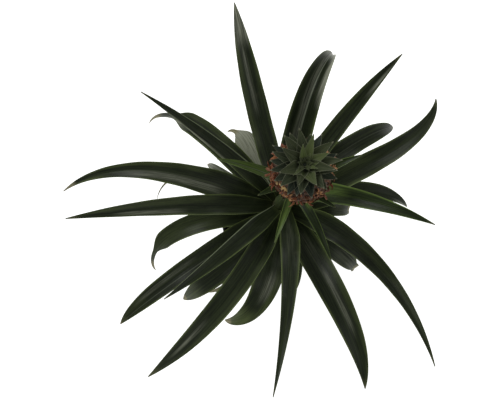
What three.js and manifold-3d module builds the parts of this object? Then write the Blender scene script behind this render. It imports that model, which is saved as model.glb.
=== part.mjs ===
// A pineapple plant in a nursery pot: a slightly leaning stem with long arching leaves, and on its
// stalk narrow upper leaves, one small fruit and the fruit's crown. Millimetres, +Z up; the origin is
// the middle of the pot's flat underside. Bearings are in degrees, from +X towards +Y.
import * as THREE from "three";
import Module from "manifold-3d";

const wasm = await Module();
wasm.setup();

const SEAT_GAP = 0.3;

// Driving sizes of the pot
const POT_HEIGHT = 108;
const POT_RIM_RADIUS = 60;
const POT_RIM_BAND = 11;
const POT_NECK_RADIUS = 57.4;
const POT_FOOT_RADIUS = 43;
const POT_WALL = 1.6;
const POT_FLOOR = 2.1;
const POT_FOOT_BEVEL = 1.5;
const POT_RIM_BEVEL = 0.8;
const POT_SIDES = 40;
const DRAIN_COUNT = 8;
const DRAIN_RADIUS = 4.5;
const DRAIN_RING_RADIUS = 31;
const DRAIN_SIDES = 8;

// Driving sizes of the soil and of the hole in it that the stem stands in
const SOIL_TOP = 97;
const SOIL_CLEARANCE = 0.5;
const SOIL_LUMP = 1.2;
const SOIL_EDGE = 3;
const SOIL_RINGS = 6;
const HOLE_DEPTH = 14;
const HOLE_CLEARANCE = 0.6;

// Driving sizes of the stem, as height, middle and radius from the foot to the fruit
const STEM_RINGS = [
  { z: SOIL_TOP - HOLE_DEPTH + 1, x: 10, y: 8, radius: 12 },
  { z: 130, x: 12.6, y: 9.4, radius: 11.5 },
  { z: 175, x: 15.1, y: 10.7, radius: 10.2 },
  { z: 193, x: 16.3, y: 11.2, radius: 8.8 },
  { z: 208, x: 17.2, y: 11.6, radius: 6.2 },
  { z: 300, x: 23.8, y: 12, radius: 5.6 },
  { z: 350, x: 27.4, y: 11.2, radius: 5.2 },
  { z: 365.7, x: 28.4, y: 10.8, radius: 6.5 },
];
const STEM_SIDES = 14;

// Driving sizes of the fruit: its foot, its skin of pointed eyes in rows, and the withered flowers
const FRUIT_BASE = new THREE.Vector3(28.4, 10.8, 366);
const FRUIT_HEIGHT = 64;
const FRUIT_RADIUS = 28.5;
const FRUIT_OUTLINE = { from: 0.13, to: 0.86, bluntness: 0.62 };
const EYES_AROUND = 9;
const EYE_ROWS = 11;
const EYE_RISE = 2.4;
const EYE_POINT = 2.2;
const EYE_POINT_LIFT = 1.5;
const EYE_FLAT = 0.58;
const ROW_TURN = 3;
const FLOWER_ROWS = [5, 6, 7, 8];
const FLOWER_CHANCE = 0.8;
const FLOWER_SEED = 23;
const FLOWER_ROOT = 2.5;
const FLOWER_RADIUS = 1.7;
const FLOWER_TIP_RADIUS = 0.7;
const FLOWER_STEPS = 4;

// Driving sizes of the crown
const CROWN_BASE = new THREE.Vector3(29.8, 11.2, FRUIT_BASE.z + FRUIT_HEIGHT + SEAT_GAP);
const CROWN_CORE_RADIUS = 8.5;
const CROWN_CORE_TOP_RADIUS = 5;
const CROWN_CORE_SHOULDER = 7;
const CROWN_CORE_HEIGHT = 15;
const CROWN_CORE_SIDES = 12;
const CROWN_LEAF_HOLLOW = 0.3;
const CROWN_LEAF_OVER = 0.5;
const CROWN_LEAF_UNDER = 0.7;
const CROWN_LEAF_TIP = 0.4;
const CROWN_LEAF_STEPS = 4;

// Leaves of the crown in ranks, the outermost first. seat: height of the roots; out: their distance from
// the axis; rise, sag: slope at the root and its fall up to the tip; fill: 1 for straight sides, more for
// fuller ones. Each leaf has its bearing, its reach from the axis and its width.
const CROWN_RANKS = [
  {
    seat: 3, out: 6, rise: 24, sag: 16, fill: 2,
    leaves: [
      [116, 36, 16], [149, 38, 13], [174, 35, 16], [-150, 35, 16], [-122, 35, 16], [-107, 33, 16],
      [-79, 35, 17], [-48, 34, 16], [-27, 36, 16], [16, 35, 14], [59, 36, 15],
    ],
  },
  {
    seat: 6, out: 5.5, rise: 38, sag: 14, fill: 1.9,
    leaves: [
      [96, 36, 15], [124, 35, 17], [165, 35, 15], [-167, 36, 16], [-137, 35, 17], [-97, 33, 17],
      [-55, 33, 19], [-17, 34, 16], [8, 38, 14], [40, 36, 16], [82, 31, 14],
    ],
  },
  {
    seat: 9.5, out: 5, rise: 50, sag: 14, fill: 1.4,
    leaves: [
      [72, 30, 13], [22, 26, 14], [-69, 27, 18], [-108, 24, 15], [-153, 29, 19], [151, 28, 18],
      [-14, 31, 16],
    ],
  },
  {
    seat: 12.5, out: 4, rise: 64, sag: 12, fill: 1.3,
    leaves: [
      [102, 18, 10], [58, 11, 8], [-30, 14, 6], [-126, 21, 5],
    ],
  },
];

// Small curled leaves round the heart of the crown
const HEART_SEED = 61;
const HEART_RANKS = [
  { count: 9, seat: 12.5, out: 4, rise: 92, sag: 58, fill: 1.9, length: 10, width: 5.2 },
  { count: 4, seat: 12, out: 1.8, rise: 90, sag: 14, fill: 1.9, length: 6, width: 4 },
];

// Driving sizes of the long blades
const BLADE_MIDDLE = 1.6;
const BLADE_EDGE = 0.8;
const BLADE_TIP_HALF = 0.5;
const BLADE_ROOT_SHARE = 0.62;
const BLADE_WIDEST = 0.28;
const BLADE_CUP = 0.3;
const WISP_SHARE = 0.32;
const WISP_LENGTH = 0.12;
const BLADE_STEPS = 13;
const STALK_BLADE_STEPS = 8;
const ACROSS = [1, 0.5, 0, -0.5, -1];

// Leaves in tiers, lowest seat first. bearing, bend: bearing at the stem and its change up to the tip;
// turn: above 1 the bend comes late; seat: height on the stem; rise, droop: slope at the stem and at
// the tip; ease: above 1 the slope changes late; taper: above 2.1 the blade keeps its width for longer;
// wisp: share of the length from which the blade is dried to a narrow curl.
const LEAVES = {
  leaf_low: [
    { bearing: 5, bend: -12, seat: 104, length: 89, rise: 38, droop: -75, ease: 2, width: 24, taper: 6 },
    { bearing: -114, bend: -66, turn: 2, seat: 105, length: 142, rise: 32, droop: -52, width: 11 },
    { bearing: -72, bend: -30, seat: 108, length: 112, rise: 44, droop: -75, width: 26 },
    {
      bearing: 147, bend: 111, turn: 2.3, seat: 106, length: 191.5,
      rise: 20, droop: -58, width: 14, wisp: 0.7,
    },
    { bearing: -36, bend: -5, seat: 110, length: 125, rise: 42, droop: -70, ease: 1.6, width: 27, taper: 5 },
    { bearing: 15, bend: -53, turn: 2.3, seat: 113, length: 169, rise: 32, droop: -62, ease: 2, width: 26.6 },
    {
      bearing: 149, bend: -25, turn: 4, seat: 112, length: 115.5,
      rise: 36, droop: -78, ease: 1.6, width: 12, taper: 4,
    },
    {
      bearing: -117.6, bend: -36, turn: 0.6, seat: 115, length: 182,
      rise: 48, droop: -67, width: 26.5, taper: 4,
    },
    {
      bearing: 118, bend: 100, turn: 9, seat: 116, length: 120, rise: 33,
      droop: -66, ease: 4, width: 30, taper: 4, wisp: 0.76,
    },
    {
      bearing: -168.6, bend: 133, turn: 4.1, seat: 119, length: 223.5, rise: 46,
      droop: -84, ease: 1.2, width: 25.5, taper: 2.9, wisp: 0.655,
    },
    {
      bearing: 50.1, bend: -24.3, turn: 0.6, seat: 118, length: 193.2,
      rise: 46, droop: -66, ease: 1.6, width: 25, taper: 4.9,
    },
    {
      bearing: -98.3, bend: -111, turn: 3.7, seat: 121, length: 185,
      rise: 52, droop: -60, ease: 1.2, width: 37.3, taper: 2.05,
    },
  ],
  leaf_mid: [
    {
      bearing: 135.3, bend: 78.5, turn: 3.9, seat: 126, length: 253.5,
      rise: 46, droop: -78.5, width: 28.8, taper: 2.5, wisp: 0.59,
    },
    {
      bearing: 21, bend: 65, turn: 4.5, seat: 131, length: 250.6,
      rise: 50, droop: -30, ease: 1.8, width: 29.2, taper: 2.4,
    },
    {
      bearing: 164.6, bend: 46, turn: 2.7, seat: 132, length: 289,
      rise: 50, droop: -42, ease: 1.1, width: 33.6, taper: 1.16,
    },
    {
      bearing: -144.2, bend: 12.8, turn: 10, seat: 135, length: 253,
      rise: 46, droop: -40, ease: 1.2, width: 23.4, taper: 4.8,
    },
    {
      bearing: -62.3, bend: -25.4, turn: 4.8, seat: 142, length: 261.5,
      rise: 56, droop: -34, ease: 1.1, width: 32.6, taper: 2.9,
    },
    {
      bearing: 77.2, bend: -29, turn: 3, seat: 148, length: 222.5,
      rise: 46, droop: -80, ease: 2.6, width: 33.5, taper: 3,
    },
  ],
  leaf_top: [
    { bearing: -173.2, bend: 4.1, seat: 151, length: 286, rise: 56, droop: 12, width: 24 },
    {
      bearing: -30, bend: -44.7, turn: 1.3, seat: 151, length: 302.5,
      rise: 58, droop: 4, width: 27.5, taper: 1.25,
    },
    {
      bearing: -112.2, bend: -29, seat: 156, length: 297, rise: 52,
      droop: 12, width: 27.5, taper: 3.5, turn: 1.25,
    },
    { bearing: 143, bend: 7, seat: 163, length: 227, rise: 54, droop: 14, width: 18, taper: 1.6 },
    { bearing: 52.5, bend: -10, seat: 170, length: 237, rise: 50, droop: 28, width: 21, taper: 2.8 },
    { bearing: -133, bend: -11, seat: 175, length: 209, rise: 56, droop: 8, width: 20.4, taper: 1.8 },
    {
      bearing: -78.8, bend: -23.8, turn: 0.6, seat: 178, length: 288,
      rise: 60, droop: 16, width: 22.9, taper: 1.35,
    },
    {
      bearing: 113.9, bend: -12.9, seat: 184, length: 253, rise: 56,
      droop: 20, width: 25.4, taper: 3.5, turn: 0.7,
    },
  ],
  stalk_leaf: [
    { bearing: -14.3, bend: -9, seat: 262, length: 189, rise: 68, droop: -8, width: 23, taper: 1.8 },
    { bearing: 164, bend: 6, seat: 300, length: 101, rise: 64, droop: 5, width: 12 },
    { bearing: -62, bend: -10, seat: 285, length: 113, rise: 64, droop: 0, width: 11 },
    { bearing: -109, bend: 0, seat: 318, length: 80, rise: 58, droop: 0, width: 9 },
    { bearing: 17, bend: 3, seat: 328, length: 80, rise: 58, droop: 8, width: 11 },
    { bearing: -46, bend: 16, seat: 342, length: 51, rise: 50, droop: 0, width: 9 },
    { bearing: -156, bend: 3, seat: 349, length: 49, rise: 48, droop: 5, width: 9 },
    { bearing: 95, bend: 6, seat: 308, length: 50, rise: 68, droop: 40, width: 10 },
  ],
};

const radians = THREE.MathUtils.degToRad;
const { clamp, lerp } = THREE.MathUtils;
const UP = new THREE.Vector3(0, 0, 1);

// The same row of numbers in [0, 1) each time, for a given start
function seeded(start) {
  let state = start;
  return () => {
    state = (state * 1664525 + 1013904223) % 4294967296;
    return state / 4294967296;
  };
}

function smoothStep(value) {
  const share = clamp(value, 0, 1);
  return share * share * (3 - 2 * share);
}

function compass(bearing) {
  return new THREE.Vector3(Math.cos(radians(bearing)), Math.sin(radians(bearing)), 0);
}

// Middle and radius of the stem at a height
function stemAt(z) {
  const upper = Math.max(1, STEM_RINGS.findIndex((ring) => ring.z >= z));
  const from = STEM_RINGS[upper - 1];
  const to = STEM_RINGS[upper];
  const share = clamp((z - from.z) / (to.z - from.z), 0, 1);
  return {
    middle: new THREE.Vector3(lerp(from.x, to.x, share), lerp(from.y, to.y, share), z),
    radius: lerp(from.radius, to.radius, share),
  };
}

// Closed surface through rings of points that turn right-handed about the way they follow, closed by a
// fan to a pole at each end. From mirrorFrom on, the squares are split along their other diagonal.
function loft(rings, startPole, endPole, mirrorFrom = Infinity) {
  const count = rings[0].length;
  const points = [startPole, ...rings.flat(), endPole];
  const last = points.length - 1;
  const at = (ring, side) => 1 + ring * count + (side % count);
  const faces = [];
  for (let side = 0; side < count; side += 1) {
    faces.push([0, at(0, side + 1), at(0, side)]);
    faces.push([last, at(rings.length - 1, side), at(rings.length - 1, side + 1)]);
    for (let ring = 0; ring + 1 < rings.length; ring += 1) {
      const a = at(ring, side);
      const b = at(ring, side + 1);
      const c = at(ring + 1, side + 1);
      const d = at(ring + 1, side);
      if (side >= mirrorFrom) {
        faces.push([a, b, c], [a, c, d]);
      } else {
        faces.push([a, b, d], [b, c, d]);
      }
    }
  }
  return { points, faces };
}

function circle(middle, radius, sides) {
  const points = [];
  for (let side = 0; side < sides; side += 1) {
    points.push(compass((360 * side) / sides).multiplyScalar(radius).add(middle));
  }
  return points;
}

// Solid turned about the vertical through middle, from [radius, height] pairs between its two poles
function turned(middle, profile, sides) {
  const rings = profile
    .slice(1, -1)
    .map(([radius, z]) => circle(new THREE.Vector3(middle.x, middle.y, z), radius, sides));
  const pole = (pair) => new THREE.Vector3(middle.x, middle.y, pair[1]);
  return loft(rings, pole(profile[0]), pole(profile[profile.length - 1]));
}

function toGeometry({ points, faces }) {
  const values = points.flatMap((point) => point.toArray());
  const geometry = new THREE.BufferGeometry();
  geometry.setAttribute("position", new THREE.Float32BufferAttribute(values, 3));
  geometry.setIndex(faces.flat());
  return geometry;
}

function toSolid({ points, faces }) {
  return new wasm.Manifold(new wasm.Mesh({
    numProp: 3,
    vertProperties: new Float32Array(points.flatMap((point) => point.toArray())),
    triVerts: new Uint32Array(faces.flat()),
  }));
}

function solidGeometry(solid) {
  const mesh = solid.getMesh();
  const geometry = new THREE.BufferGeometry();
  geometry.setAttribute("position", new THREE.Float32BufferAttribute(mesh.vertProperties, 3));
  geometry.setIndex([...mesh.triVerts]);
  return geometry;
}

function fuse(shapes) {
  return shapes.map(toSolid).reduce((whole, solid) => whole.add(solid));
}

function makePot() {
  const bandFoot = POT_HEIGHT - POT_RIM_BAND;
  let pot = toSolid(turned(new THREE.Vector3(), [
    [0, 0],
    [POT_FOOT_RADIUS - POT_FOOT_BEVEL, 0],
    [POT_FOOT_RADIUS, POT_FOOT_BEVEL],
    [POT_NECK_RADIUS, bandFoot],
    [POT_RIM_RADIUS - POT_RIM_BEVEL, bandFoot],
    [POT_RIM_RADIUS, POT_HEIGHT - POT_RIM_BEVEL],
    [POT_RIM_RADIUS - POT_RIM_BEVEL, POT_HEIGHT],
    [POT_RIM_RADIUS - POT_RIM_BEVEL - POT_WALL, POT_HEIGHT],
    [POT_NECK_RADIUS - POT_WALL, bandFoot - POT_WALL],
    [POT_FOOT_RADIUS - POT_WALL, POT_FLOOR],
    [0, POT_FLOOR],
  ], POT_SIDES));
  for (let index = 0; index < DRAIN_COUNT; index += 1) {
    const middle = compass((360 * (index + 0.5)) / DRAIN_COUNT).multiplyScalar(DRAIN_RING_RADIUS);
    pot = pot.subtract(toSolid(turned(middle, [
      [0, -1],
      [DRAIN_RADIUS, -1],
      [DRAIN_RADIUS, POT_FLOOR + 1],
      [0, POT_FLOOR + 1],
    ], DRAIN_SIDES)));
  }
  return solidGeometry(pot);
}

// Potting soil: fills the pot, with a slightly lumpy top and a plain hole for the stem
function makeSoil() {
  const random = seeded(7);
  const floor = POT_FLOOR + SEAT_GAP;
  const wallShare = (SOIL_TOP - floor) / (POT_HEIGHT - POT_RIM_BAND);
  const foot = POT_FOOT_RADIUS - POT_WALL - SOIL_CLEARANCE;
  const top = lerp(POT_FOOT_RADIUS, POT_NECK_RADIUS, wallShare) - POT_WALL - 2 * SOIL_CLEARANCE;
  const rings = [
    circle(new THREE.Vector3(0, 0, floor), foot, POT_SIDES),
    circle(new THREE.Vector3(0, 0, SOIL_TOP - SOIL_EDGE), top, POT_SIDES),
  ];
  for (let index = 0; index < SOIL_RINGS; index += 1) {
    const ring = circle(new THREE.Vector3(0, 0, SOIL_TOP), top * (1 - index / SOIL_RINGS), POT_SIDES);
    ring.forEach((point) => {
      point.z += SOIL_LUMP * (2 * random() - 1);
    });
    rings.push(ring);
  }
  const soil = toSolid(loft(rings, new THREE.Vector3(0, 0, floor), new THREE.Vector3(0, 0, SOIL_TOP)));
  const holeFoot = stemAt(SOIL_TOP - HOLE_DEPTH).middle;
  const holeTop = stemAt(SOIL_TOP).middle.add(new THREE.Vector3(0, 0, 2 * SOIL_LUMP));
  const holeRadius = STEM_RINGS[0].radius + HOLE_CLEARANCE;
  const holeRings = [holeFoot, holeTop].map((middle) => circle(middle, holeRadius, STEM_SIDES));
  return solidGeometry(soil.subtract(toSolid(loft(holeRings, holeFoot, holeTop))));
}

// Stem from its foot in the soil up to the fruit
function makeStem() {
  const middles = STEM_RINGS.map((ring) => new THREE.Vector3(ring.x, ring.y, ring.z));
  const rings = STEM_RINGS.map((ring, index) => circle(middles[index], ring.radius, STEM_SIDES));
  return toGeometry(loft(rings, middles[0], middles[middles.length - 1]));
}

// Half width of a blade at a share of its length: a narrowed root, then a long taper to the point
function halfWidth(leaf, share) {
  const full = leaf.width / 2;
  if (share < BLADE_WIDEST) {
    return full * lerp(BLADE_ROOT_SHARE, 1, smoothStep(share / BLADE_WIDEST));
  }
  const beyond = (share - BLADE_WIDEST) / (1 - BLADE_WIDEST);
  const half = BLADE_TIP_HALF + (full - BLADE_TIP_HALF) * (1 - beyond ** (leaf.taper ?? 2.1));
  const shrunk = leaf.wisp ? smoothStep((share - leaf.wisp) / WISP_LENGTH) : 0;
  return half * lerp(1, WISP_SHARE, shrunk);
}

// Blade that starts at the stem, clasps it as part of a cone about it, and opens into a channel
function makeBlade(leaf, steps) {
  const hub = stemAt(leaf.seat);
  const step = leaf.length / steps;
  const slopeAt = (share) => radians(lerp(leaf.rise, leaf.droop, share ** (leaf.ease ?? 1)));
  const bearingAt = (share) => leaf.bearing + leaf.bend * share ** (leaf.turn ?? 1.5);
  const rootChord = halfWidth(leaf, 0) / 2;
  const rootSag = rootChord ** 2 / (8 * hub.radius);
  const start = hub.radius + SEAT_GAP + rootSag + (BLADE_MIDDLE / 2) * Math.sin(radians(leaf.rise));
  const point = hub.middle.clone().addScaledVector(compass(leaf.bearing), start);
  const root = point.clone();
  const tip = new THREE.Vector3();
  const rings = [];
  for (let index = 0; index <= steps; index += 1) {
    const share = index / steps;
    const slope = slopeAt(share);
    const along = compass(bearingAt(share)).multiplyScalar(Math.cos(slope)).setZ(Math.sin(slope));
    const left = compass(bearingAt(share) + 90);
    const up = along.clone().cross(left);
    const arm = point.clone().sub(hub.middle).setZ(0);
    const open = smoothStep((arm.length() - 2 * hub.radius) / (4 * hub.radius));
    const curve = (1 - open) / arm.length() + 1e-6;
    const inward = arm.clone().normalize().negate();
    const half = halfWidth(leaf, share);
    const face = (across, side) => {
      const offset = across * half;
      const lift = BLADE_CUP * half * open * Math.abs(across) ** 1.6;
      const thickness = lerp(BLADE_MIDDLE, BLADE_EDGE, Math.max(Math.abs(across), share ** 3));
      return point.clone()
        .addScaledVector(left, Math.sin(curve * offset) / curve)
        .addScaledVector(inward, (1 - Math.cos(curve * offset)) / curve)
        .addScaledVector(up, lift + (side * thickness) / 2);
    };
    rings.push([
      ...ACROSS.map((across) => face(across, 1)),
      ...ACROSS.map((across) => face(-across, -1)),
    ]);
    tip.copy(point);
    const ahead = Math.min(1, share + 0.5 / steps);
    point.addScaledVector(compass(bearingAt(ahead)), step * Math.cos(slopeAt(ahead)));
    point.z += step * Math.sin(slopeAt(ahead));
  }
  return toGeometry(loft(rings, root, tip, ACROSS.length));
}

// Radius of the fruit at a share of its height, without the eyes
function fruitRadius(share) {
  const { from, to, bluntness } = FRUIT_OUTLINE;
  return FRUIT_RADIUS * Math.sin(Math.PI * lerp(from, to, share)) ** bluntness;
}

// Point over the fruit's skin, at a row of eyes and half steps round it
function onFruit(row, halfSteps, rise, lift) {
  const share = row / EYE_ROWS;
  const turn = (180 * halfSteps) / EYES_AROUND + ROW_TURN * row;
  return compass(turn)
    .multiplyScalar(fruitRadius(share) + rise)
    .add(FRUIT_BASE)
    .add(new THREE.Vector3(0, 0, FRUIT_HEIGHT * share + lift));
}

// Fruit body as one closed skin of raised, pointed eyes in staggered rows that turn up the fruit
function fruitBody() {
  const around = 2 * EYES_AROUND;
  const points = [];
  const faces = [];
  const grooves = new Map();
  const put = (point) => points.push(point) - 1;
  const groove = (row, halfSteps) => {
    const key = `${row}_${(halfSteps + around) % around}`;
    if (!grooves.has(key)) {
      grooves.set(key, put(onFruit(row, halfSteps, 0, 0)));
    }
    return grooves.get(key);
  };
  for (let row = 1; row < EYE_ROWS; row += 1) {
    for (let half = row % 2; half < around; half += 2) {
      const outer = [
        groove(row - 1, half),
        groove(row, half + 1),
        groove(row + 1, half),
        groove(row, half - 1),
      ];
      const raised = [
        put(onFruit(row - EYE_FLAT, half, EYE_RISE, 0)),
        put(onFruit(row, half + EYE_FLAT, EYE_RISE, 0)),
        put(onFruit(row + EYE_FLAT, half, EYE_RISE, 0)),
        put(onFruit(row, half - EYE_FLAT, EYE_RISE, 0)),
      ];
      const tip = put(onFruit(row, half, EYE_RISE + EYE_POINT, EYE_POINT_LIFT));
      for (let side = 0; side < 4; side += 1) {
        const next = (side + 1) % 4;
        faces.push([outer[side], outer[next], raised[side]]);
        faces.push([outer[next], raised[next], raised[side]]);
        faces.push([raised[side], raised[next], tip]);
      }
    }
  }
  const foot = put(FRUIT_BASE.clone());
  const head = put(FRUIT_BASE.clone().add(new THREE.Vector3(0, 0, FRUIT_HEIGHT)));
  for (let half = 1; half < around; half += 2) {
    faces.push([groove(0, half), groove(0, half + 2), groove(1, half + 1)]);
    faces.push([foot, groove(0, half + 2), groove(0, half)]);
  }
  for (let half = (EYE_ROWS + 1) % 2; half < around; half += 2) {
    faces.push([groove(EYE_ROWS, half + 2), groove(EYE_ROWS, half), groove(EYE_ROWS - 1, half + 1)]);
    faces.push([head, groove(EYE_ROWS, half), groove(EYE_ROWS, half + 2)]);
  }
  return { points, faces };
}

// Withered flower: a thin curled three-sided strip, rooted in an eye
function witheredFlower(row, halfSteps, random) {
  const root = onFruit(row, halfSteps, -FLOWER_ROOT, 0);
  const outward = root.clone().sub(FRUIT_BASE).setZ(0).normalize();
  const side = UP.clone().cross(outward);
  const length = lerp(9, 14, random());
  const sway = lerp(-40, 40, random());
  const curl = lerp(50, 130, random());
  const rise = lerp(35, 5, random());
  const point = root.clone();
  const rings = [];
  for (let index = 0; index <= FLOWER_STEPS; index += 1) {
    const share = index / FLOWER_STEPS;
    const slope = radians(rise + curl * share * share);
    const turn = radians(sway * share);
    const along = outward.clone().multiplyScalar(Math.cos(turn)).addScaledVector(side, Math.sin(turn));
    along.multiplyScalar(Math.cos(slope)).setZ(Math.sin(slope));
    const across = UP.clone().cross(along).normalize();
    const up = along.clone().cross(across);
    const radius = lerp(FLOWER_RADIUS, FLOWER_TIP_RADIUS, share);
    rings.push([90, 210, 330].map((angle) => point.clone()
      .addScaledVector(across, radius * Math.cos(radians(angle)))
      .addScaledVector(up, radius * Math.sin(radians(angle)))));
    point.addScaledVector(along, length / FLOWER_STEPS);
  }
  return loft(rings, root, point);
}

function makeFruit() {
  const random = seeded(FLOWER_SEED);
  const shapes = [fruitBody()];
  FLOWER_ROWS.forEach((row) => {
    for (let half = row % 2; half < 2 * EYES_AROUND; half += 2) {
      if (random() < FLOWER_CHANCE) {
        shapes.push(witheredFlower(row - 0.3, half + 0.3 * random(), random));
      }
    }
  });
  return solidGeometry(fuse(shapes));
}

// One small crown leaf: keeled, rooted in the crown's core and pointed at its end
function crownLeaf(bearing, length, width, form) {
  const outward = compass(bearing);
  const left = UP.clone().cross(outward);
  const point = CROWN_BASE.clone().addScaledVector(outward, form.out);
  point.z += form.seat;
  const rings = [];
  for (let step = 0; step <= CROWN_LEAF_STEPS; step += 1) {
    const part = step / CROWN_LEAF_STEPS;
    const slope = radians(form.rise - form.sag * part);
    const along = outward.clone().multiplyScalar(Math.cos(slope)).setZ(Math.sin(slope));
    const up = along.clone().cross(left);
    const wide = Math.max(CROWN_LEAF_TIP, (width / 2) * (1 - part ** form.fill));
    const corner = (across, lift) => point.clone().addScaledVector(left, across).addScaledVector(up, lift);
    rings.push([
      corner(wide, CROWN_LEAF_HOLLOW * wide),
      corner(0, CROWN_LEAF_OVER),
      corner(-wide, CROWN_LEAF_HOLLOW * wide),
      corner(0, -CROWN_LEAF_UNDER),
    ]);
    point.addScaledVector(along, length / CROWN_LEAF_STEPS);
  }
  const middle = (ring) => ring[1].clone().lerp(ring[3], 0.5);
  return loft(rings, middle(rings[0]), middle(rings[CROWN_LEAF_STEPS]));
}

function crownLeaves() {
  const random = seeded(HEART_SEED);
  const outer = CROWN_RANKS.flatMap((form) => form.leaves.map(([bearing, reach, width]) => {
    const length = (reach - form.out) / Math.cos(radians(form.rise - form.sag / 2));
    return crownLeaf(bearing, length, width, form);
  }));
  const heart = HEART_RANKS.flatMap((form) => Array.from({ length: form.count }, (_, index) => {
    const bearing = (360 * (index + 0.5 * random())) / form.count;
    return crownLeaf(bearing, form.length * lerp(0.8, 1.2, random()), form.width, form);
  }));
  return [...outer, ...heart];
}

function makeCrown() {
  const foot = CROWN_BASE.z;
  const shapes = [turned(CROWN_BASE, [
    [0, foot],
    [CROWN_CORE_RADIUS, foot],
    [CROWN_CORE_RADIUS, foot + CROWN_CORE_SHOULDER],
    [CROWN_CORE_TOP_RADIUS, foot + CROWN_CORE_HEIGHT],
    [0, foot + CROWN_CORE_HEIGHT],
  ], CROWN_CORE_SIDES), ...crownLeaves()];
  return solidGeometry(fuse(shapes));
}

const finishes = {
  pot: { color: 0x15171a, roughness: 0.45, metalness: 0 },
  soil: { color: 0x2b2019, roughness: 1, metalness: 0 },
  stem: { color: 0x5b6a3c, roughness: 0.7, metalness: 0 },
  leaf: { color: 0x2c3f23, roughness: 0.5, metalness: 0 },
  stalkLeaf: { color: 0x4a6330, roughness: 0.5, metalness: 0 },
  fruit: { color: 0x8a5a35, roughness: 0.6, metalness: 0 },
  crown: { color: 0x4d6044, roughness: 0.6, metalness: 0 },
};

const plant = new THREE.Group();

function addPiece(name, geometry, finish) {
  const mesh = new THREE.Mesh(geometry, new THREE.MeshStandardMaterial(finishes[finish]));
  mesh.name = name;
  plant.add(mesh);
}

function addLeaves(tier, steps, finish) {
  LEAVES[tier].forEach((leaf, index) => {
    const number = String(index + 1).padStart(2, "0");
    addPiece(`${tier}_${number}`, makeBlade(leaf, steps), finish);
  });
}

addPiece("pot", makePot(), "pot");
addPiece("soil", makeSoil(), "soil");
addPiece("stem", makeStem(), "stem");
addLeaves("leaf_low", BLADE_STEPS, "leaf");
addLeaves("leaf_mid", BLADE_STEPS, "leaf");
addLeaves("leaf_top", BLADE_STEPS, "leaf");
addLeaves("stalk_leaf", STALK_BLADE_STEPS, "stalkLeaf");
addPiece("fruit", makeFruit(), "fruit");
addPiece("crown", makeCrown(), "crown");

export default plant;
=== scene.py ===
import math

import bpy
import numpy as np
from mathutils import Matrix, Vector


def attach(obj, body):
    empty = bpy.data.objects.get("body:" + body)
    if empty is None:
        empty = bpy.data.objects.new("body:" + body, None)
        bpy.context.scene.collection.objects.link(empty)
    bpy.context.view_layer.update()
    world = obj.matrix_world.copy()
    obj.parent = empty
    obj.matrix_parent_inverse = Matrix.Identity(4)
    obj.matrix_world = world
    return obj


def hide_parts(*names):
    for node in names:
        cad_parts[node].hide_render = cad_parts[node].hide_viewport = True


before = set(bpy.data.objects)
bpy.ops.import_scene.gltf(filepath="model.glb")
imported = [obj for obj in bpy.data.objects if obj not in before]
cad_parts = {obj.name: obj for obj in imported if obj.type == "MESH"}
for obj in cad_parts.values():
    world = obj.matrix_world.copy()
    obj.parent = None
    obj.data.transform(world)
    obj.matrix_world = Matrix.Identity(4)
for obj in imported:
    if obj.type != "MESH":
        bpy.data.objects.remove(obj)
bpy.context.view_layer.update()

MM = 0.001
UP = np.array((0.0, 0.0, 1.0))

# Pot and soil
POT_HEIGHT = 108
POT_RIM_RADIUS = 60
POT_RIM_BAND = 11
POT_NECK_RADIUS = 57.4
POT_FOOT_RADIUS = 43
POT_WALL = 1.6
POT_FLOOR = 2.1
POT_SIDES = 144
DRAIN_COUNT = 8
DRAIN_RADIUS = 4.5
DRAIN_RING_RADIUS = 31
DRAIN_SIDES = 32
SOIL_TOP = 97
SOIL_CLEARANCE = 0.5
SOIL_SIDES = 96
SOIL_RINGS = 30
SOIL_SEED = 7
SOIL_LUMPS = 60
SOIL_LUMP = 1.6
SOIL_LUMP_MEAN = 0.8
SOIL_LUMP_SPREAD = 40
SOIL_EDGE_FROM = 0.75
SOIL_EDGE_DROP = 1.5
SOIL_GRAIN = 0.5
# Loose crumbs: how many to a square metre, their radius, the factors that size it and that stretch it
# three ways, and how far their surface is pushed about
CRUMB_SEED = 4
CRUMB_DENSITY = 150000.0
CRUMB_RADIUS = 1.7
CRUMB_SIZES = (0.3, 1.25)
CRUMB_SHAPES = ((0.5, 0.6, 0.4), (1.6, 1.1, 0.9))
CRUMB_ROUGHNESS = 1.6

# Stem, as height, middle and radius from the foot to the fruit
STEM_RINGS = (
    (84, 10, 8, 12),
    (130, 12.6, 9.4, 11.5),
    (175, 15.1, 10.7, 10.2),
    (193, 16.3, 11.2, 8.8),
    (208, 17.2, 11.6, 6.2),
    (300, 23.8, 12, 5.6),
    (350, 27.4, 11.2, 5.2),
    (365.7, 28.4, 10.8, 6.5),
)
STEM_SIDES = 56
STEM_STEP = 1.5
STEM_SKIN_BACK = 0.3
STEM_FLUTES = 14
STEM_FLUTE_DEPTH = 0.12
SCAR_RISE = 0.5
SCAR_DROP = 2
SCAR_SPREAD = 1.6

# Fruit: its foot, its outline as a stretch of a blunt sine curve, and its rows of pointed eyes
FRUIT_BASE = np.array((28.4, 10.8, 366.0))
FRUIT_HEIGHT = 64
FRUIT_RADIUS = 28.5
FRUIT_FROM = 0.13
FRUIT_TO = 0.86
FRUIT_BLUNTNESS = 0.62
EYES_AROUND = 9
EYE_ROWS = 11
EYE_RISE = 2.4
EYE_POINT = 1.2
EYE_POINT_LIFT = 0.8
EYE_OUTLINE_POWER = 3.2
ROW_TURN = 3
FRUIT_STEPS_PER_ROW = 12
FRUIT_COLUMNS_PER_HALF = 9
# Row and half step of the one pale eye, which has no scale in front of it, and how far its colour
# reaches and fades
GOLDEN_EYE = (8, 10)
GOLDEN_REACH = 1.05
GOLDEN_SOFT = 0.35

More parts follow.
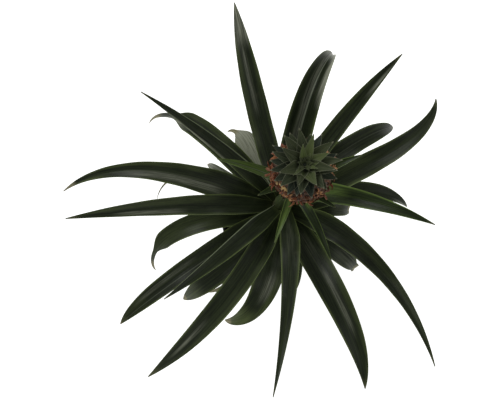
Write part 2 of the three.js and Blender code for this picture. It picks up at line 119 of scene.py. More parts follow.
# Scales and petals: their shapes are made this long and then sized
SHAPE_LENGTH = 10
SHAPE_STEPS = 9
SHAPE_COLUMNS = 7
SCALE_SEED = 5
SCALE_HALF_WIDTH = 3.6
SCALE_HALF_THICKNESS = 0.15
SCALE_REST = 0.3
SCALE_HUMP = 0.9
SCALE_TIP_LIFT = 2.2
SCALE_TIP_BACK = 1.2
SCALE_SIZES = (1.05, 1.3)
# Rows from the eye's middle to a scale's foot and to its point, each with the height over the skin
SCALE_FOOT = (-0.82, 1)
SCALE_POINT = (0.25, EYE_RISE + 0.9)

# Withered flowers, each a tuft of petals round a middle line. Its drop is in rows of eyes, its shift in
# half steps round the fruit, its sways and slopes in degrees. A petal's foot stands beside the line, and
# its lean is the tangent of its angle to the line.
FLOWER_ROWS = (5, 6, 7, 8)
FLOWER_CHANCE = 0.8
FLOWER_SEED = 23
FLOWER_ROOT = 2.5
FLOWER_DROP = 0.3
FLOWER_SHIFT = 0.3
FLOWER_LENGTHS = (12.5, 17)
FLOWER_SWAYS = (-40, 40)
FLOWER_SLOPES = (28, -10)
PETALS = 11
PETAL_SEED = 9
PETAL_UNEVENNESS = 0.6
PETAL_LEANS = (0.1, 0.8)
PETAL_FEET = (0.6, 2.4)
PETAL_SIZES = (0.55, 0.95)
PETAL_TONES = (-0.3, 0.3)
PETAL_HALF_WIDTHS = (0.55, 1.25)
PETAL_HALF_THICKNESSES = (0.7, 0.25)
PETAL_HOLLOW = 0.5
# Curl and twist of each shape of petal, in degrees
PETAL_CURLS = ((210, 60), (140, -120), (80, 200))

# Crown: a core with keeled leaves in ranks, the outermost first. Each rank has the height of its
# seats, the distance of the roots from the axis, the slope at the root, how much it sags, and fill:
# 1 for leaves with straight sides, more for fuller ones.
CROWN_BASE = np.array((29.8, 11.2, 430.3))
CROWN_CORE_RADIUS = 8.5
CROWN_CORE_TOP_RADIUS = 5
CROWN_CORE_HEIGHT = 13
CROWN_CORE_SIDES = 32
CROWN_LEAF_STEPS = 24
CROWN_LEAF_COLUMNS = 9
CROWN_LEAF_HOLLOW = 0.42
CROWN_LEAF_HALF_THICKNESSES = (0.5, 0.15)
CROWN_LEAF_LEAST_HALF = 0.12
CROWN_TOOTH = 0.28
CROWN_SEED = 100
# Degrees by which a tip bends up, and the tangent of a leaf's swing off its bearing at the tip
CROWN_TIP_CURLS = (-8, 14)
CROWN_SWAYS = (-0.16, 0.16)
CROWN_RANKS = (
    dict(seat=3, out=6, rise=24, sag=16, fill=2),
    dict(seat=6, out=5.5, rise=38, sag=14, fill=1.9),
    dict(seat=9.5, out=5, rise=50, sag=14, fill=1.4),
    dict(seat=12.5, out=4, rise=64, sag=12, fill=1.3),
)
# Bearing, reach from the axis, width and tone of each crown leaf, rank by rank; the tone runs from 0
# for dark teal through 0.5 for grey green to 1 for bright yellow green.
CROWN_LEAVES = (
    ((116, 36, 16, 0.35), (149, 38, 13, 0.1), (174, 35, 16, 0.15), (-150, 35, 16, 0.2), (-122, 35, 16, 0.1),
     (-107, 33, 16, 0), (-79, 35, 17, 0), (-48, 34, 16, 0.2), (-27, 36, 16, 0.05), (16, 35, 14, 0.1),
     (59, 36, 15, 0.1)),
    ((96, 36, 15, 0.4), (124, 35, 17, 0.45), (165, 35, 15, 0.3), (-167, 36, 16, 0.2), (-137, 35, 17, 0.3),
     (-97, 33, 17, 0.3), (-55, 33, 19, 0.35), (-17, 34, 16, 0.4), (8, 38, 14, 0.3), (40, 36, 16, 0.4),
     (82, 31, 14, 0.2)),
    ((72, 30, 13, 0.95), (22, 26, 14, 0.8), (-69, 27, 18, 0.7), (-108, 24, 15, 0.45), (-153, 29, 19, 0.5),
     (151, 28, 18, 0.45), (-14, 31, 16, 0.5)),
    ((102, 18, 10, 1), (58, 11, 8, 1), (-30, 14, 6, 0.8), (-126, 21, 5, 0.7)),
)
# The young leaves in the heart of the crown, curled outwards
HEART_SEED = 61
HEART_TONE = 0.6
HEART_LENGTHS = (0.8, 1.2)
HEART_RANKS = (
    dict(count=9, seat=12.5, out=4, rise=92, sag=58, fill=1.9, length=10, width=5.2),
    dict(count=5, seat=12, out=2.2, rise=86, sag=44, fill=1.6, length=7, width=4.4),
)

# Long blades: their thickness in the middle and at the margins, their outline, cup and waves. They stop
# a little short, so that their twisted tips stay inside the solids' box.
SEAT_GAP = 0.3
BLADE_MIDDLE = 1.5
BLADE_EDGE = 0.5
BLADE_TIP_HALF = 0.5
BLADE_ROOT_SHARE = 0.62
BLADE_WIDEST = 0.28
BLADE_CUP = 0.3
BLADE_CUP_POWER = 1.35
WISP_SHARE = 0.32
WISP_LENGTH = 0.12
BLADE_COLUMNS = 17
BLADE_STEP = 3.0
BLADE_LEAST_STEPS = 24
BLADE_TIP_BACK = 0.4
BLADE_TWISTS = (-5, 5)
BLADE_WAVELENGTHS = (38, 60)
BLADE_WAVE = 0.07
TEAR_FROM = 0.9
TEAR_DEPTH = 5
# A blade is rolled round the stem at its root. It opens out from 2 of the stem's radii, over 4 more.
OPENING_FROM = 2
OPENING_OVER = 4
# What a leaf has for turn, ease and taper where it gives none
BLADE_TURN = 1.5
BLADE_EASE = 1
BLADE_TAPER = 2.1

# Leaves in tiers, lowest seat first. bearing, bend: bearing at the stem and its change up to the tip;
# turn: above 1 the bend comes late; seat: height on the stem; rise, droop: slope at the stem and at
# the tip; ease: above 1 the slope changes late; taper: above 2.1 the blade keeps its width for longer;
# wisp: share of the length where the blade narrows to a thin dry end.
LEAVES = {
    "leaf_low": (
        dict(bearing=5, bend=-12, seat=104, length=89, rise=38, droop=-75, ease=2, width=24, taper=6),
        dict(bearing=-114, bend=-66, turn=2, seat=105, length=142, rise=32, droop=-52, width=11),
        dict(bearing=-72, bend=-30, seat=108, length=112, rise=44, droop=-75, width=26),
        dict(bearing=147, bend=111, turn=2.3, seat=106, length=191.5, rise=20, droop=-58, width=14,
              wisp=0.7),
        dict(bearing=-36, bend=-5, seat=110, length=125, rise=42, droop=-70, ease=1.6, width=27, taper=5),
        dict(bearing=15, bend=-53, turn=2.3, seat=113, length=169, rise=32, droop=-62, ease=2, width=26.6),
        dict(bearing=149, bend=-25, turn=4, seat=112, length=115.5, rise=36, droop=-78, ease=1.6,
              width=12, taper=4),
        dict(bearing=-117.6, bend=-36, turn=0.6, seat=115, length=182, rise=48, droop=-67,
              width=26.5, taper=4),
        dict(bearing=118, bend=100, turn=9, seat=116, length=120, rise=33, droop=-66, ease=4,
              width=30, taper=4, wisp=0.76),
        dict(bearing=-168.6, bend=133, turn=4.1, seat=119, length=223.5, rise=46, droop=-84,
              ease=1.2, width=25.5, taper=2.9, wisp=0.655),
        dict(bearing=50.1, bend=-24.3, turn=0.6, seat=118, length=193.2, rise=46, droop=-66,
              ease=1.6, width=25, taper=4.9),
        dict(bearing=-98.3, bend=-111, turn=3.7, seat=121, length=185, rise=52, droop=-60,
              ease=1.2, width=37.3, taper=2.05),
    ),
    "leaf_mid": (
        dict(bearing=135.3, bend=78.5, turn=3.9, seat=126, length=253.5, rise=46, droop=-78.5,
              width=28.8, taper=2.5, wisp=0.59),
        dict(bearing=21, bend=65, turn=4.5, seat=131, length=250.6, rise=50, droop=-30, ease=1.8,
              width=29.2, taper=2.4),
        dict(bearing=164.6, bend=46, turn=2.7, seat=132, length=289, rise=50, droop=-42, ease=1.1,
              width=33.6, taper=1.16),
        dict(bearing=-144.2, bend=12.8, turn=10, seat=135, length=253, rise=46, droop=-40,
              ease=1.2, width=23.4, taper=4.8),
        dict(bearing=-62.3, bend=-25.4, turn=4.8, seat=142, length=261.5, rise=56, droop=-34,
              ease=1.1, width=32.6, taper=2.9),
        dict(bearing=77.2, bend=-29, turn=3, seat=148, length=222.5, rise=46, droop=-80, ease=2.6,
              width=33.5, taper=3),
    ),
    "leaf_top": (
        dict(bearing=-173.2, bend=4.1, seat=151, length=286, rise=56, droop=12, width=24),
        dict(bearing=-30, bend=-44.7, turn=1.3, seat=151, length=302.5, rise=58, droop=4,
              width=27.5, taper=1.25),
        dict(bearing=-112.2, bend=-29, seat=156, length=297, rise=52, droop=12, width=27.5,
              taper=3.5, turn=1.25),
        dict(bearing=143, bend=7, seat=163, length=227, rise=54, droop=14, width=18, taper=1.6),
        dict(bearing=52.5, bend=-10, seat=170, length=237, rise=50, droop=28, width=21, taper=2.8),
        dict(bearing=-133, bend=-11, seat=175, length=209, rise=56, droop=8, width=20.4, taper=1.8),
        dict(bearing=-78.8, bend=-23.8, turn=0.6, seat=178, length=288, rise=60, droop=16,
              width=22.9, taper=1.35),
        dict(bearing=113.9, bend=-12.9, seat=184, length=253, rise=56, droop=20, width=25.4,
              taper=3.5, turn=0.7),
    ),
    "stalk_leaf": (
        dict(bearing=-14.3, bend=-9, seat=262, length=189, rise=68, droop=-8, width=23, taper=1.8),
        dict(bearing=164, bend=6, seat=300, length=101, rise=64, droop=5, width=12),
        dict(bearing=-62, bend=-10, seat=285, length=113, rise=64, droop=0, width=11),
        dict(bearing=-109, bend=0, seat=318, length=80, rise=58, droop=0, width=9),
        dict(bearing=17, bend=3, seat=328, length=80, rise=58, droop=8, width=11),
        dict(bearing=-46, bend=16, seat=342, length=51, rise=50, droop=0, width=9),
        dict(bearing=-156, bend=3, seat=349, length=49, rise=48, droop=5, width=9),
        dict(bearing=95, bend=6, seat=308, length=50, rise=68, droop=40, width=10),
    ),
}

# What sets single leaves apart. dry: share of the length where the dead tip starts; stub: half width
# at which a blunt torn end stops; fold: how steeply the halves rise, 0.3 where it isn't given; line: a
# thin painted highlight along a fold, with painted shade beside it, as (place across, strength, side on
# which the shade is painted). bloom (the silvery streaks, partly scurf and partly painted sheen) and pale
# (olive bands), both as (from, to, place across, half width, strength). Places across run from -1 at the
# right margin, seen from the stem, to 1 at the left one.
LEAF_LOOKS = {
    "leaf_low_01": dict(dry=0.93, stub=5, bloom=((0.6, 1, 0, 2, 0.15),)),
    "leaf_low_02": dict(dry=0.8),
    "leaf_low_04": dict(dry=0.55, pale=((0.6, 1, 0, 2, 1),)),
    "leaf_low_05": dict(dry=0.97, stub=6, bloom=((0.6, 1, 0, 2, 0.12),)),
    "leaf_low_06": dict(bloom=((0.8, 1, -0.6, 0.6, 0.5),)),
    "leaf_low_07": dict(dry=0.9, bloom=((0.5, 1, 0, 2, 0.7),)),
    "leaf_low_08": dict(dry=0.93, pale=((0.72, 1, 0, 2, 0.8), (0.3, 1, 0.9, 0.3, 0.4))),
    "leaf_low_09": dict(dry=0.8, bloom=((0, 1, 0, 2, 1.7),)),
    "leaf_low_10": dict(dry=0.8, pale=((0.25, 0.9, 0, 1.5, 0.45),)),
    "leaf_low_11": dict(bloom=((0, 0.4, -0.4, 0.5, 0.25),), line=(0.0, 0.15, 1)),
    "leaf_low_12": dict(
        dry=0.9,
        bloom=((0.42, 0.7, 0.25, 0.45, 0.6),),
        pale=((0.4, 1, 0.85, 0.5, 1.1), (0.7, 1, 0, 2, 1.4)),
    ),
    "leaf_mid_01": dict(
        dry=0.76,
        bloom=((0.55, 0.82, 0.7, 0.5, 0.6),),
        pale=((0.3, 0.7, -0.8, 0.4, 0.5),),
    ),
    "leaf_mid_02": dict(pale=((0.05, 0.6, 0.55, 0.5, 0.5), (0.25, 0.95, -0.9, 0.3, 0.6))),
    "leaf_mid_03": dict(
        dry=0.9,
        bloom=((0.22, 0.72, 0.35, 0.5, 0.42),),
        pale=((0.3, 0.95, -0.85, 0.4, 0.8), (0.72, 1, 0.85, 0.6, 1.3)),
    ),
    "leaf_mid_04": dict(
        dry=0.98,
        line=(0.35, 0.25, 1),
        bloom=((0.48, 0.9, -0.4, 0.3, 0.36),),
        pale=((0.1, 1, -0.95, 0.25, 0.6), (0.75, 1, 0, 2, 0.35)),
    ),
    "leaf_mid_05": dict(
        bloom=((0.38, 0.78, 0.14, 0.3, 0.42), (0.1, 0.4, 0.1, 0.5, 0.12)),
        pale=((0.3, 1, 0.8, 0.35, 0.6),),
    ),
    "leaf_mid_06": dict(
        fold=0.9,
        line=(-0.1, 0.6, -1),
        bloom=((0.3, 1, 0.15, 0.36, 0.4), (0.55, 1.1, -0.95, 0.5, 1.3), (0.84, 1, 0, 2, 0.9)),
    ),
    "leaf_top_01": dict(
        bloom=((0.48, 0.84, 0.5, 0.4, 0.45),),
        pale=((0.3, 1, -0.6, 0.55, 0.6),),
    ),
    "leaf_top_02": dict(pale=((0.05, 1, 0.95, 0.25, 0.8), (0.35, 1, 0.4, 0.6, 0.4))),
    "leaf_top_03": dict(
        bloom=((0.66, 0.92, -0.1, 0.3, 0.45),),
        pale=((0.25, 1, 0.8, 0.4, 0.5),),
    ),
    "leaf_top_04": dict(
        line=(-0.9, 0.7, 1),
        bloom=((0.36, 0.86, 1, 0.4, 1),),
        pale=((0.1, 0.5, 0.9, 0.3, 0.5),),
    ),
    "leaf_top_05": dict(
        bloom=((0.7, 0.96, -0.45, 0.4, 0.6),),
        pale=((0.1, 0.9, 0.8, 0.4, 0.5), (0.3, 0.9, -0.9, 0.25, 0.4)),
    ),
    "leaf_top_06": dict(line=(-0.95, 1, 1), pale=((0.2, 0.9, 0.95, 0.25, 0.4),)),
    "leaf_top_07": dict(
        bloom=((0.05, 0.4, 0, 0.5, 0.12),),
        pale=((0.1, 1, 0.95, 0.35, 0.7),),
    ),
    "leaf_top_08": dict(
        bloom=((0.77, 1, 0, 2, 0.75), (0.45, 0.86, 0.05, 0.3, 0.4)),
        pale=((0.25, 0.9, 0.8, 0.4, 0.7), (0.05, 0.85, -0.9, 0.3, 0.6)),
    ),
    "stalk_leaf_01": dict(pale=((0, 0.5, 0.2, 0.7, 0.9), (0, 1, -0.95, 0.25, 0.6))),
    "stalk_leaf_02": dict(line=(0.1, 0.5, 1), pale=((0, 1, 0, 2, 0.7),)),
    "stalk_leaf_03": dict(pale=((0, 0.45, 0.5, 0.7, 1), (0, 1, -0.9, 0.3, 0.5))),
    "stalk_leaf_04": dict(pale=((0, 1, 0.2, 1, 0.9),)),
}
# A line off the blade, for leaves without one; lines fade over the last share of a blade
NO_LINE = (5, 0, 1)
LINE_FADE = 0.03
# A dead tip runs up to DRY_END, and is dead all through after 1 / DRY_SPEED of its own length
DRY_END = 1.001
DRY_SPEED = 1.6
LEAF_VALUES = (
    "along", "across", "along_mm", "across_mm", "under", "dry", "bloom", "pale", "off_line", "line_strength",
)
CROWN_VALUES = ("along", "across", "under", "tone", "tint")

# Leaf greens: dark and middle streaks, and the olive of margins and bands
LONG_LEAF_GREENS = ((0.0082, 0.012, 0.0052), (0.0225, 0.032, 0.0125), (0.088, 0.116, 0.038))
STALK_LEAF_GREENS = ((0.01, 0.017, 0.0055), (0.028, 0.045, 0.012), (0.15, 0.235, 0.05))

# Camera and lights, in metres and degrees
CAMERA_PLACE = (-0.02475, -0.2166, 1.8094)
CAMERA_TILT = 8
CAMERA_LENS = 99.8
CAMERA_SENSOR = 36
LIGHTS_AIM = (0, 0, 0.25)
SKY_STRENGTH = 0.3
FLOOR_REACH = 6000


def lerp(first, second, share):
    return first + (second - first) * share


def smooth_step(value):
    share = np.clip(value, 0, 1)
    return share * share * (3 - 2 * share)


def window(value, start, end, soft):
    """1 between start and end, falling to 0 over a soft stretch inside each."""
    return smooth_step((value - start) / soft) * smooth_step((end - value) / soft)


def compass(bearing):
    return np.array((math.cos(math.radians(bearing)), math.sin(math.radians(bearing)), 0.0))


def unit(vector):
    return vector / np.linalg.norm(vector)


def seeded(start):
    """The numbers in [0, 1) that the solids' source draws from the same start."""
    states = 2 ** 32
    state = start
    while True:
        state = (state * 1664525 + 1013904223) % states
        yield state / states


def stem_at(z):
    """Middle and radius of the stem at a height."""
    heights = [ring[0] for ring in STEM_RINGS]
    x, y, radius = (np.interp(z, heights, [ring[axis] for ring in STEM_RINGS]) for axis in (1, 2, 3))
    return np.array((x, y, z)), radius


# Meshes


def make_object(name, points, faces, materials, floats=None, sharp=45.0):
    """Object of a mesh given in millimetres, with named numbers on its points."""
    mesh = bpy.data.meshes.new(name)
    mesh.from_pydata((np.asarray(points) * MM).tolist(), [], faces)
    for key, values in (floats or {}).items():
        mesh.attributes.new(key, "FLOAT", "POINT").data.foreach_set("value", np.asarray(values, dtype=float))
    for material in materials:
        mesh.materials.append(material)
    mesh.shade_smooth()
    mesh.set_sharp_from_angle(angle=math.radians(sharp))
    piece = bpy.data.objects.new(name, mesh)
    bpy.context.scene.collection.objects.link(piece)
    return piece


def declare(piece, slot, *nodes):
    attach(piece, "root")
    if nodes:
        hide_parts(*nodes)


def loft_faces(ring_count, ring_size):
    """Faces of a closed tube through rings, with a pole before the first and one after the last."""
    def at(ring, side):
        return 1 + ring * ring_size + side % ring_size

    last = 1 + ring_count * ring_size
    faces = []
    for side in range(ring_size):
        faces.append((0, at(0, side + 1), at(0, side)))
        faces.append((last, at(ring_count - 1, side), at(ring_count - 1, side + 1)))
        for ring in range(ring_count - 1):
            faces.append((at(ring, side), at(ring, side + 1), at(ring + 1, side + 1), at(ring + 1, side)))
    return faces


def join_shells(shells):
    """Points and faces of several closed shells, as one mesh."""
    points = []
    faces = []
    for shell_points, shell_faces in shells:
        first = len(points)
        points.extend(shell_points)
        faces.extend(tuple(first + corner for corner in face) for face in shell_faces)
    return points, faces


def by_name(names, rows):
    """One list of numbers for each name, from one row of numbers for each point."""
    return dict(zip(names, np.array(rows, dtype=float).T))


def both_faces(columns):
    """Places across a thin leaf from left to right on top, and back again on its underside."""
    across = np.linspace(1, -1, columns)
    return (0, across), (1, -across)


def turned(left, up, angle):
    """Left and up, turned about the way ahead."""
    turned_left = left * math.cos(angle) + up * math.sin(angle)
    turned_up = up * math.cos(angle) - left * math.sin(angle)
    return turned_left, turned_up


def turned_points(profile, sides):
    """Rings of points turned about Z, from [radius, height] pairs between two poles."""
    angles = 2 * np.pi * np.arange(sides) / sides
    points = [np.array((0, 0, profile[0][1]))]
    for radius, z in profile[1:-1]:
        points.extend(np.column_stack((radius * np.cos(angles), radius * np.sin(angles), np.full(sides, z))))
    points.append(np.array((0, 0, profile[-1][1])))
    return points


# Node trees


class Nodes:
    """Short words for the nodes of a tree and the links between them."""

    def __init__(self, tree):
        self.tree = tree

    def node(self, kind, sockets=None, **settings):
        node = self.tree.nodes.new(kind)
        for key, value in settings.items():
            setattr(node, key, value)
        for key, value in (sockets or {}).items():
            self.put(node.inputs[key], value)
        return node

    def put(self, socket, value):
        if isinstance(value, bpy.types.NodeSocket):
            self.tree.links.new(value, socket)
        elif socket.type == "RGBA":
            socket.default_value = (*value, 1.0)
        else:
            socket.default_value = value


class Finish(Nodes):
    """A material with a Principled shader, and short words for the nodes that feed it."""

    def __init__(self, name):
        self.material = bpy.data.materials.new(name)
        self.material.use_nodes = True
        super().__init__(self.material.node_tree)
        self.shader = self.tree.nodes["Principled BSDF"]

    def attribute(self, name):
        return self.node("ShaderNodeAttribute", attribute_name=name).outputs["Fac"]

    def place(self):
        return self.node("ShaderNodeTexCoord").outputs["Object"]

    def maths(self, operation, first, second=0.0):
        return self.node("ShaderNodeMath", {0: first, 1: second}, operation=operation).outputs[0]

    def product(self, first, second):
        return self.maths("MULTIPLY", first, second)

    def vector(self, x, y, z):
        return self.node("ShaderNodeCombineXYZ", {0: x, 1: y, 2: z}).outputs[0]

    def stretched(self, vector, scale):
        return self.node("ShaderNodeMapping", {"Vector": vector, "Scale": scale}).outputs[0]

    def noise(self, vector, scale, detail=2.0, roughness=0.5):
        sockets = {"Vector": vector, "Scale": scale, "Detail": detail, "Roughness": roughness}
        return self.node("ShaderNodeTexNoise", sockets).outputs["Fac"]

    def band(self, value, start, end, low=0.0, high=1.0):
        sockets = {"Value": value, "From Min": start, "From Max": end, "To Min": low, "To Max": high}
        return self.node("ShaderNodeMapRange", sockets, interpolation_type="SMOOTHSTEP").outputs[0]

    def mix(self, share, first, second):
        return self.node("ShaderNodeMix", {0: share, 6: first, 7: second}, data_type="RGBA").outputs[2]

    def laid(self, base, colour, value, start, end, most=1.0):
        """A colour laid over a base: none of it where value is at start, most of it at end."""
        return self.mix(self.band(value, start, end, 0.0, most), base, colour)

    def mottled(self, pattern, dark, light):
        """From dark to light over the middle of a noise pattern."""
        return self.laid(dark, light, pattern, 0.3, 0.7)

    def bump(self, height, distance, strength=1.0, normal=None):
        sockets = {"Height": height, "Distance": distance, "Strength": strength}
        if normal is not None:
            sockets["Normal"] = normal
        return self.node("ShaderNodeBump", sockets).outputs[0]

    def shade(self, **sockets):
        """Sets or links the shader's sockets, with _ for a space, and gives the material."""
        for key, value in sockets.items():
            self.put(self.shader.inputs[key.replace("_", " ")], value)
        return self.material


class Layout(Nodes):
    """A Geometry Nodes tree with named inputs that ends in a mesh of one material."""

    def __init__(self, name, inputs):
        super().__init__(bpy.data.node_groups.new(name, "GeometryNodeTree"))
        for label, kind in inputs.items():
            self.tree.interface.new_socket(label, in_out="INPUT", socket_type=f"NodeSocket{kind}")
        self.tree.interface.new_socket("Geometry", in_out="OUTPUT", socket_type="NodeSocketGeometry")
        self.given = self.node("NodeGroupInput").outputs

    def finished(self, geometry):
        sockets = {"Geometry": geometry, "Material": self.given["Finish"]}
        skinned = self.node("GeometryNodeSetMaterial", sockets)
        self.node("NodeGroupOutput", {"Geometry": skinned.outputs["Geometry"]})
        return self.tree


def set_inputs(modifier, values):
    for item in modifier.node_group.interface.items_tree:
        if item.in_out == "INPUT" and item.name in values:
            modifier[item.identifier] = values[item.name]


def bake(piece, material, sharp=45.0):
    """Replaces an object's mesh by what its modifiers make of it."""
    bpy.context.view_layer.update()
    evaluated = piece.evaluated_get(bpy.context.evaluated_depsgraph_get())
    mesh = bpy.data.meshes.new_from_object(evaluated)
    piece.modifiers.clear()
    mesh.name = piece.name
    mesh.materials.clear()
    mesh.materials.append(material)
    mesh.shade_smooth()
    mesh.set_sharp_from_angle(angle=math.radians(sharp))
    piece.data = mesh


def placing_tree():
    """Places one shape on every point, turned and sized by the point's own values, as one mesh."""
    layout = Layout("place_on_points", {"Geometry": "Geometry", "Shape": "Object", "Finish": "Material"})
    given = layout.given
    shape = layout.node("GeometryNodeObjectInfo", {"Object": given["Shape"]})
    turn = layout.node("GeometryNodeInputNamedAttribute", {"Name": "turn"}, data_type="FLOAT_VECTOR")
    size = layout.node("GeometryNodeInputNamedAttribute", {"Name": "size"}, data_type="FLOAT")
    rotation = layout.node("FunctionNodeEulerToRotation", {"Euler": turn.outputs["Attribute"]})
    placed = layout.node("GeometryNodeInstanceOnPoints", {
        "Points": given["Geometry"],
        "Instance": shape.outputs["Geometry"],
        "Rotation": rotation.outputs["Rotation"],
        "Scale": size.outputs["Attribute"],
    })
    real = layout.node("GeometryNodeRealizeInstances", {"Geometry": placed.outputs["Instances"]})
    return layout.finished(real.outputs["Geometry"])


def place_on_points(name, places, shape, tree, material):
    """Bakes a copy of the shape at each of places, given as (point, right, ahead, out, size, tint)."""
    points = [place[0] for place in places]
    floats = by_name(("size", "tint"), [place[4:] for place in places])
    carrier = make_object(name, points, [], [], floats)
    turns = []
    for _, right, ahead, out, _, _ in places:
        turns.extend(Matrix(np.column_stack((right, ahead, out)).tolist()).to_euler())
    carrier.data.attributes.new("turn", "FLOAT_VECTOR", "POINT").data.foreach_set("vector", turns)
    modifier = carrier.modifiers.new("place", "NODES")
    modifier.node_group = tree
    set_inputs(modifier, {"Shape": shape, "Finish": material})
    bake(carrier, material)
    return carrier


# Materials


def leaf_finish(name, dark, middle, edge):
    """Leathery blade: streaked green, olive margins, bloom with painted sheen, painted fold highlight and
    shade, silvery underside, dead tip.
    """
    margin_green = (0.18, 0.24, 0.075)
    tip_olive = (0.16, 0.17, 0.075)
    # Silver of the bloom, which also stands for painted sheen; the grey below it is a painted highlight along
    # a fold
    bloom_and_sheen_silver = (0.35, 0.365, 0.28)
    fold_highlight_grey = (0.24, 0.27, 0.19)
    silver_dark = (0.1, 0.12, 0.075)
    silver_light = (0.28, 0.295, 0.23)
    straw_dark = (0.13, 0.12, 0.055)
    straw_light = (0.36, 0.34, 0.22)
    finish = Finish(name)
    along = finish.attribute("along_mm")
    across = finish.attribute("across_mm")
    share = finish.attribute("along")
    side = finish.maths("ABSOLUTE", finish.attribute("across"))
    tint = finish.product(finish.attribute("tint"), 90.0)
    lane = finish.vector(across, finish.product(along, 0.02), tint)
    fine = finish.noise(lane, 1.2, 4.0, 0.68)
    broad = finish.noise(lane, 0.42, 2.0)
    patchy = finish.noise(finish.vector(across, along, tint), 0.045, 3.0)
    drift = finish.noise(finish.vector(across, finish.product(along, 0.15), tint), 0.09, 2.0)

    # Streaks, then a paler root and an olive tip
    green = finish.laid(dark, middle, fine, 0.36, 0.66)
    green = finish.laid(green, finish.mix(0.25, middle, edge), broad, 0.46, 0.7, 0.42)
    green = finish.laid(green, edge, share, 0.06, 0.0, 0.4)
    green = finish.laid(green, tip_olive, share, 0.93, 1.0, 0.6)

    # Olive margins and bands
    rim = finish.product(finish.band(side, 0.74, 0.96), finish.band(drift, 0.35, 0.6, 0.3, 1.0))
    rim = finish.product(rim, finish.band(share, 0.1, 0.45, 0.35, 1.0))
    pale = finish.product(finish.attribute("pale"), finish.band(fine, 0.3, 0.6, 0.2, 0.75))
    green = finish.mix(finish.maths("MAXIMUM", rim, pale), green, edge)

    # Silvery bloom together with painted sheen, broken up by fibres
    fibres = finish.band(finish.noise(lane, 0.75, 3.0, 0.6), 0.36, 0.62, 0.45, 1.25)
    bloom = finish.product(finish.attribute("bloom"), finish.band(fine, 0.3, 0.62, 0.25, 1.0))
    green = finish.mix(finish.product(bloom, fibres), green, bloom_and_sheen_silver)

    # A fold: painted shade on one side of a thin painted highlight along it
    off_line = finish.attribute("off_line")
    shade = finish.product(finish.band(off_line, 0.3, 0.0), finish.band(off_line, -0.02, 0.02))
    green = finish.mix(finish.product(shade, 0.8), green, dark)
    fold_highlight = finish.band(finish.maths("ABSOLUTE", off_line), 0.075, 0.02)
    fold_highlight = finish.product(fold_highlight, finish.attribute("line_strength"))
    green = finish.mix(fold_highlight, green, fold_highlight_grey)
    green = finish.laid(green, margin_green, side, 0.93, 1.0, 0.75)

    # Silvery underside and dead, straw-coloured ends
    under = finish.attribute("under")
    silver = finish.laid(silver_dark, silver_light, fine, 0.35, 0.65)
    skin = finish.mix(finish.product(under, 0.85), green, silver)
    dry = finish.maths("ADD", finish.attribute("dry"), finish.product(patchy, 0.5))
    dry = finish.band(dry, 0.3, 0.9)
    skin = finish.mix(dry, skin, finish.mottled(fine, straw_dark, straw_light))

    roughness = finish.band(fine, 0.3, 0.7, 0.33, 0.46)
    roughness = finish.maths("ADD", roughness, finish.product(under, 0.15))
    roughness = finish.maths("ADD", roughness, finish.product(dry, 0.3))
    ridges = finish.bump(finish.noise(lane, 1.1, 2.0), 0.0005, 0.4)
    return finish.shade(
        Base_Color=skin,
        Roughness=roughness,
        Normal=finish.bump(patchy, 0.0006, 0.25, ridges),
        Specular_IOR_Level=0.2,
    )


def pot_finish():
    """Moulded black plastic: slight sheen, faint rings from the mould, dust and scuffs."""
    plastic_black = (0.005, 0.0053, 0.006)
    dust_grey = (0.014, 0.014, 0.0135)
    scuff_grey = (0.035, 0.035, 0.033)
    finish = Finish("moulded_pot_plastic")
    place = finish.place()
    dust = finish.noise(place, 45, 5.0, 0.65)
    scuffs = finish.noise(finish.stretched(place, (1, 1, 9)), 120, 4.0, 0.7)
    colour = finish.laid(plastic_black, dust_grey, dust, 0.45, 0.8)
    colour = finish.laid(colour, scuff_grey, scuffs, 0.62, 0.8, 0.5)
    wave = {"Vector": place, "Scale": 160, "Distortion": 0.4}
    rings = finish.node("ShaderNodeTexWave", wave, bands_direction="Z").outputs["Fac"]
    grain = finish.bump(finish.noise(place, 1400, 2.0), 0.0001, 0.35)
    return finish.shade(
        Base_Color=colour,
        Roughness=finish.band(dust, 0.35, 0.75, 0.34, 0.58),
        Normal=finish.bump(rings, 0.0001, 0.3, grain),
        Specular_IOR_Level=0.3,
    )


def soil_finish():
    """Dark moist peat with brown fibres."""
    peat_dark = (0.012, 0.008, 0.005)
    peat_light = (0.05, 0.03, 0.018)
    fibre_brown = (0.12, 0.08, 0.05)
    finish = Finish("potting_soil_crumb")
    place = finish.place()
    lumps = finish.noise(place, 130, 6.0, 0.7)
    grains = finish.noise(place, 900, 3.0, 0.6)
    colour = finish.laid(peat_dark, peat_light, lumps, 0.35, 0.7)
    colour = finish.laid(colour, fibre_brown, grains, 0.6, 0.75, 0.6)
    return finish.shade(
        Base_Color=colour,
        Roughness=0.92,
        Normal=finish.bump(grains, 0.0008, 0.6, finish.bump(lumps, 0.002, 0.7)),
    )


def stem_finish():
    """Fibrous stalk, green above and browner towards the foot, with scurfy flecks."""
    fleck_grey = (0.3, 0.3, 0.24)
    finish = Finish("fibrous_stem")
    place = finish.place()
    fibre = finish.noise(finish.stretched(place, (1, 1, 0.06)), 700, 4.0, 0.6)
    flecks = finish.noise(place, 380, 4.0, 0.7)
    height = finish.node("ShaderNodeSeparateXYZ", {0: place}).outputs[2]
    green = finish.mottled(fibre, (0.045, 0.07, 0.02), (0.12, 0.16, 0.055))
    brown = finish.mottled(fibre, (0.06, 0.04, 0.022), (0.2, 0.15, 0.09))
    colour = finish.laid(brown, green, height, 0.1, 0.2)
    colour = finish.laid(colour, fleck_grey, flecks, 0.58, 0.75, 0.6)
    return finish.shade(
        Base_Color=colour,
        Roughness=finish.band(fibre, 0.3, 0.7, 0.5, 0.75),
        Normal=finish.bump(flecks, 0.0004, 0.4, finish.bump(fibre, 0.0005, 0.5)),
    )


